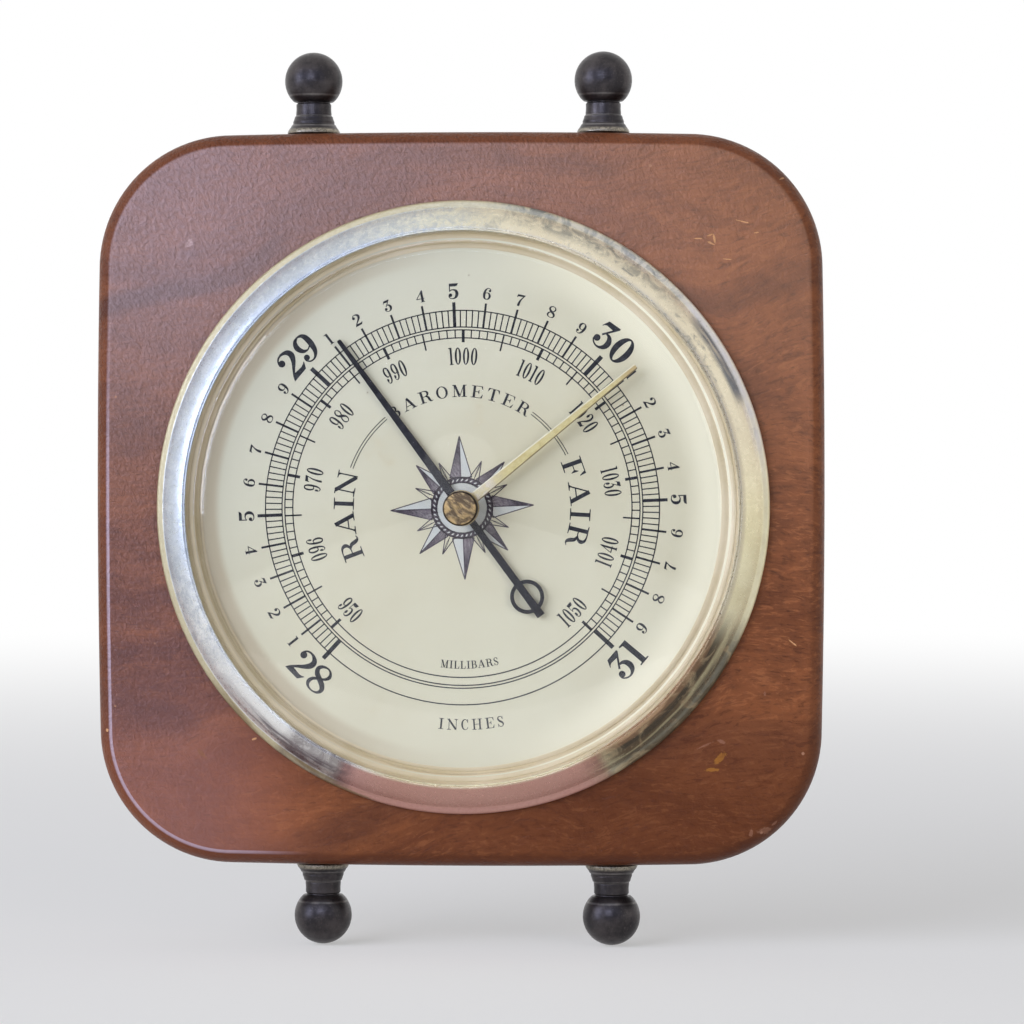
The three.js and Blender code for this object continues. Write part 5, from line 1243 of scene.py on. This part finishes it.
# Bezel. Spun from sheet brass, pale plated and lacquered: a bead at its foot, a sloping face and a crisp
# lip that holds the lens. Its plating is clouded, and pitted grey where the lacquer has gone. Painted
# reflections lie on it: bluish silver on the left, a white highlight at the lower left, pink at the bottom
# and brown streaks at the lower right.
BEZEL_PROFILE = [(63.9, 19.15), (63.9, 20.1), (63.83, 20.38), (63.62, 20.62), (63.3, 20.78), (62.9, 20.88),
                 (62.6, 20.98), (62.4, 21.1), (61.8, 21.77), (60.8, 22.77), (59.8, 23.64), (59.0, 24.22),
                 (58.3, 24.61), (57.98, 24.74), (57.88, 24.6), (57.76, 24.6), (57.66, 24.76), (57.54, 24.82),
                 (57.44, 24.74), (57.4, 24.6), (57.4, 24.3),
                 (58.4, 23.9), (59.3, 23.2), (60.6, 22.1), (61.5, 21.2), (61.5, 19.15)]

# (radius, colour) of the painted brown reflections at the lower right, from the lip outward
REFLECTION_RINGS = ((0.0585, (124, 94, 72)), (0.0594, (58, 47, 42)), (0.0605, (92, 76, 60)), (0.0611, (172, 164, 132)),
               (0.0617, (104, 98, 84)), (0.0624, (112, 107, 94)), (0.0633, (84, 70, 54)))


def pale_plated_brass():
    finish = Finish("pale_plated_brass")
    place = finish.place
    cloud = place.noise(120.0, 4.0, 0.6)
    pits = place.noise(1500.0, 3.0, 0.65)
    streaks = place.noise(320.0, 5.0, 0.7, 0.8)
    radius = from_axis(place)
    aim = place.mapped(Scale=(1, 0, 1)).vector("NORMALIZE")
    aim_across, _, aim_up = Place(aim.socket).parts()

    def round_the_ring(along, outward):
        """Coordinates with one scale along the ring and another outward."""
        return Place(put(finish.tree, "CombineXYZ", {"X": aim_across * along, "Y": radius * outward,
                                                     "Z": aim_up * along}).outputs[0])

    def towards(degrees, wide, full):
        """A share that is 1 round one side of the ring and fades out beyond it."""
        out = Vector(polar(1, degrees))
        return aim.vector("DOT_PRODUCT", (out.x, 0, out.y), "Value").span(
            math.cos(math.radians(wide)), math.cos(math.radians(full)))

    spun = round_the_ring(4.0, 700.0).noise(1.0, 3.0, 0.55, 0.3)
    patchy = round_the_ring(8.0, 320.0).noise(1.0, 4.0, 0.65, 0.9)
    mottled = streaks.span(0.4, 0.6, 0.0, 0.42) + pits.span(0.45, 0.6, 0.0, 0.26)
    outer = radius.span(0.0614, 0.0622) * towards(52, 34, 18)
    inner = radius.span(0.0592, 0.0584) * towards(95, 60, 35)
    foot = radius.span(0.0624, 0.0627)
    # Painted reflection: pink on the face at the bottom.
    painted_pink_reflection = towards(178, 28.5, 26) * radius.span(0.0575, 0.0585)
    wavy = radius + (spun - 0.5) * 0.0024
    # Painted reflection: brown streaks round the ring at the lower right.
    painted_brown_reflection = painted((184, 150, 118), *((wavy.span(at - 0.0004, at + 0.0001), tint) for at, tint in REFLECTION_RINGS),
                      (patchy.span(0.47, 0.62, 0.0, 0.5), (188, 166, 130)))
    # Darker grey-brown streaks on the face at the lower left.
    dark_lower_left = (towards(219, 17, 9) * spun.span(0.42, 0.6, 0.25, 1.0)
             * (radius.span(0.0592, 0.0604) * radius.span(0.0625, 0.0622)))
    dark_end = towards(210, 9, 5) * streaks.span(0.35, 0.6, 0.5, 1.0)
    # Brown streaks on the foot at the lower left.
    brown_streaked_foot = towards(214, 24, 10) * foot * spun.span(0.4, 0.6, 0.1, 0.8)
    tarnish = towards(38, 44, 20) * (streaks.span(0.52, 0.66) * spun.span(0.45, 0.6))
    clouded = towards(27, 24, 12) * radius.span(0.0588, 0.0608) * streaks.span(0.38, 0.6, 0.15, 0.75)
    grey_streak = (towards(60, 11, 6) * spun.span(0.36, 0.58, 0.3, 0.9)
                   * (radius.span(0.0603, 0.0614) * radius.span(0.0629, 0.0622)))
    tone = painted((242, 234, 198),
                   (cloud.span(0.3, 0.7), (228, 218, 180)),
                   # Painted reflection: bluish silver on the left.
                   (towards(-75, 95, 30), (206, 212, 217)),
                   # Painted highlight: near white at the lower left.
                   (towards(228, 34, 15), (252, 252, 248)),
                   (towards(45, 50, 25) * 0.55, (226, 214, 196)),
                   (mottled * towards(-60, 76, 50), (172, 180, 188)),
                   (outer * cloud.span(0.35, 0.6, 0.1, 0.5), (220, 216, 218)),
                   (inner * 0.6, (188, 176, 154)),
                   (foot * towards(-80, 130, 60), (202, 191, 156)),
                   (painted_pink_reflection * 0.85, (190, 134, 128)),
                   (towards(133, 24, 12) * 0.94, painted_brown_reflection),
                   (dark_lower_left * 0.8, (92, 85, 92)),
                   (dark_end * 0.7, (100, 84, 88)),
                   (brown_streaked_foot, (136, 116, 84)),
                   (tarnish * 0.75, (146, 146, 138)),
                   (clouded, (140, 140, 132)),
                   (grey_streak, (104, 110, 120)))
    roughness = pits.span(0.3, 0.7, 0.24, 0.44) + tarnish * 0.15 + foot * 0.2
    return finish.done(tone, roughness, (pits, 0.03, 0.6), Metallic=0.94)


bezel = make_piece("spun_bezel", turned(eased(BEZEL_PROFILE, 1.2, 3), 288), pale_plated_brass(), "case",
                   50)
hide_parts("bezel")
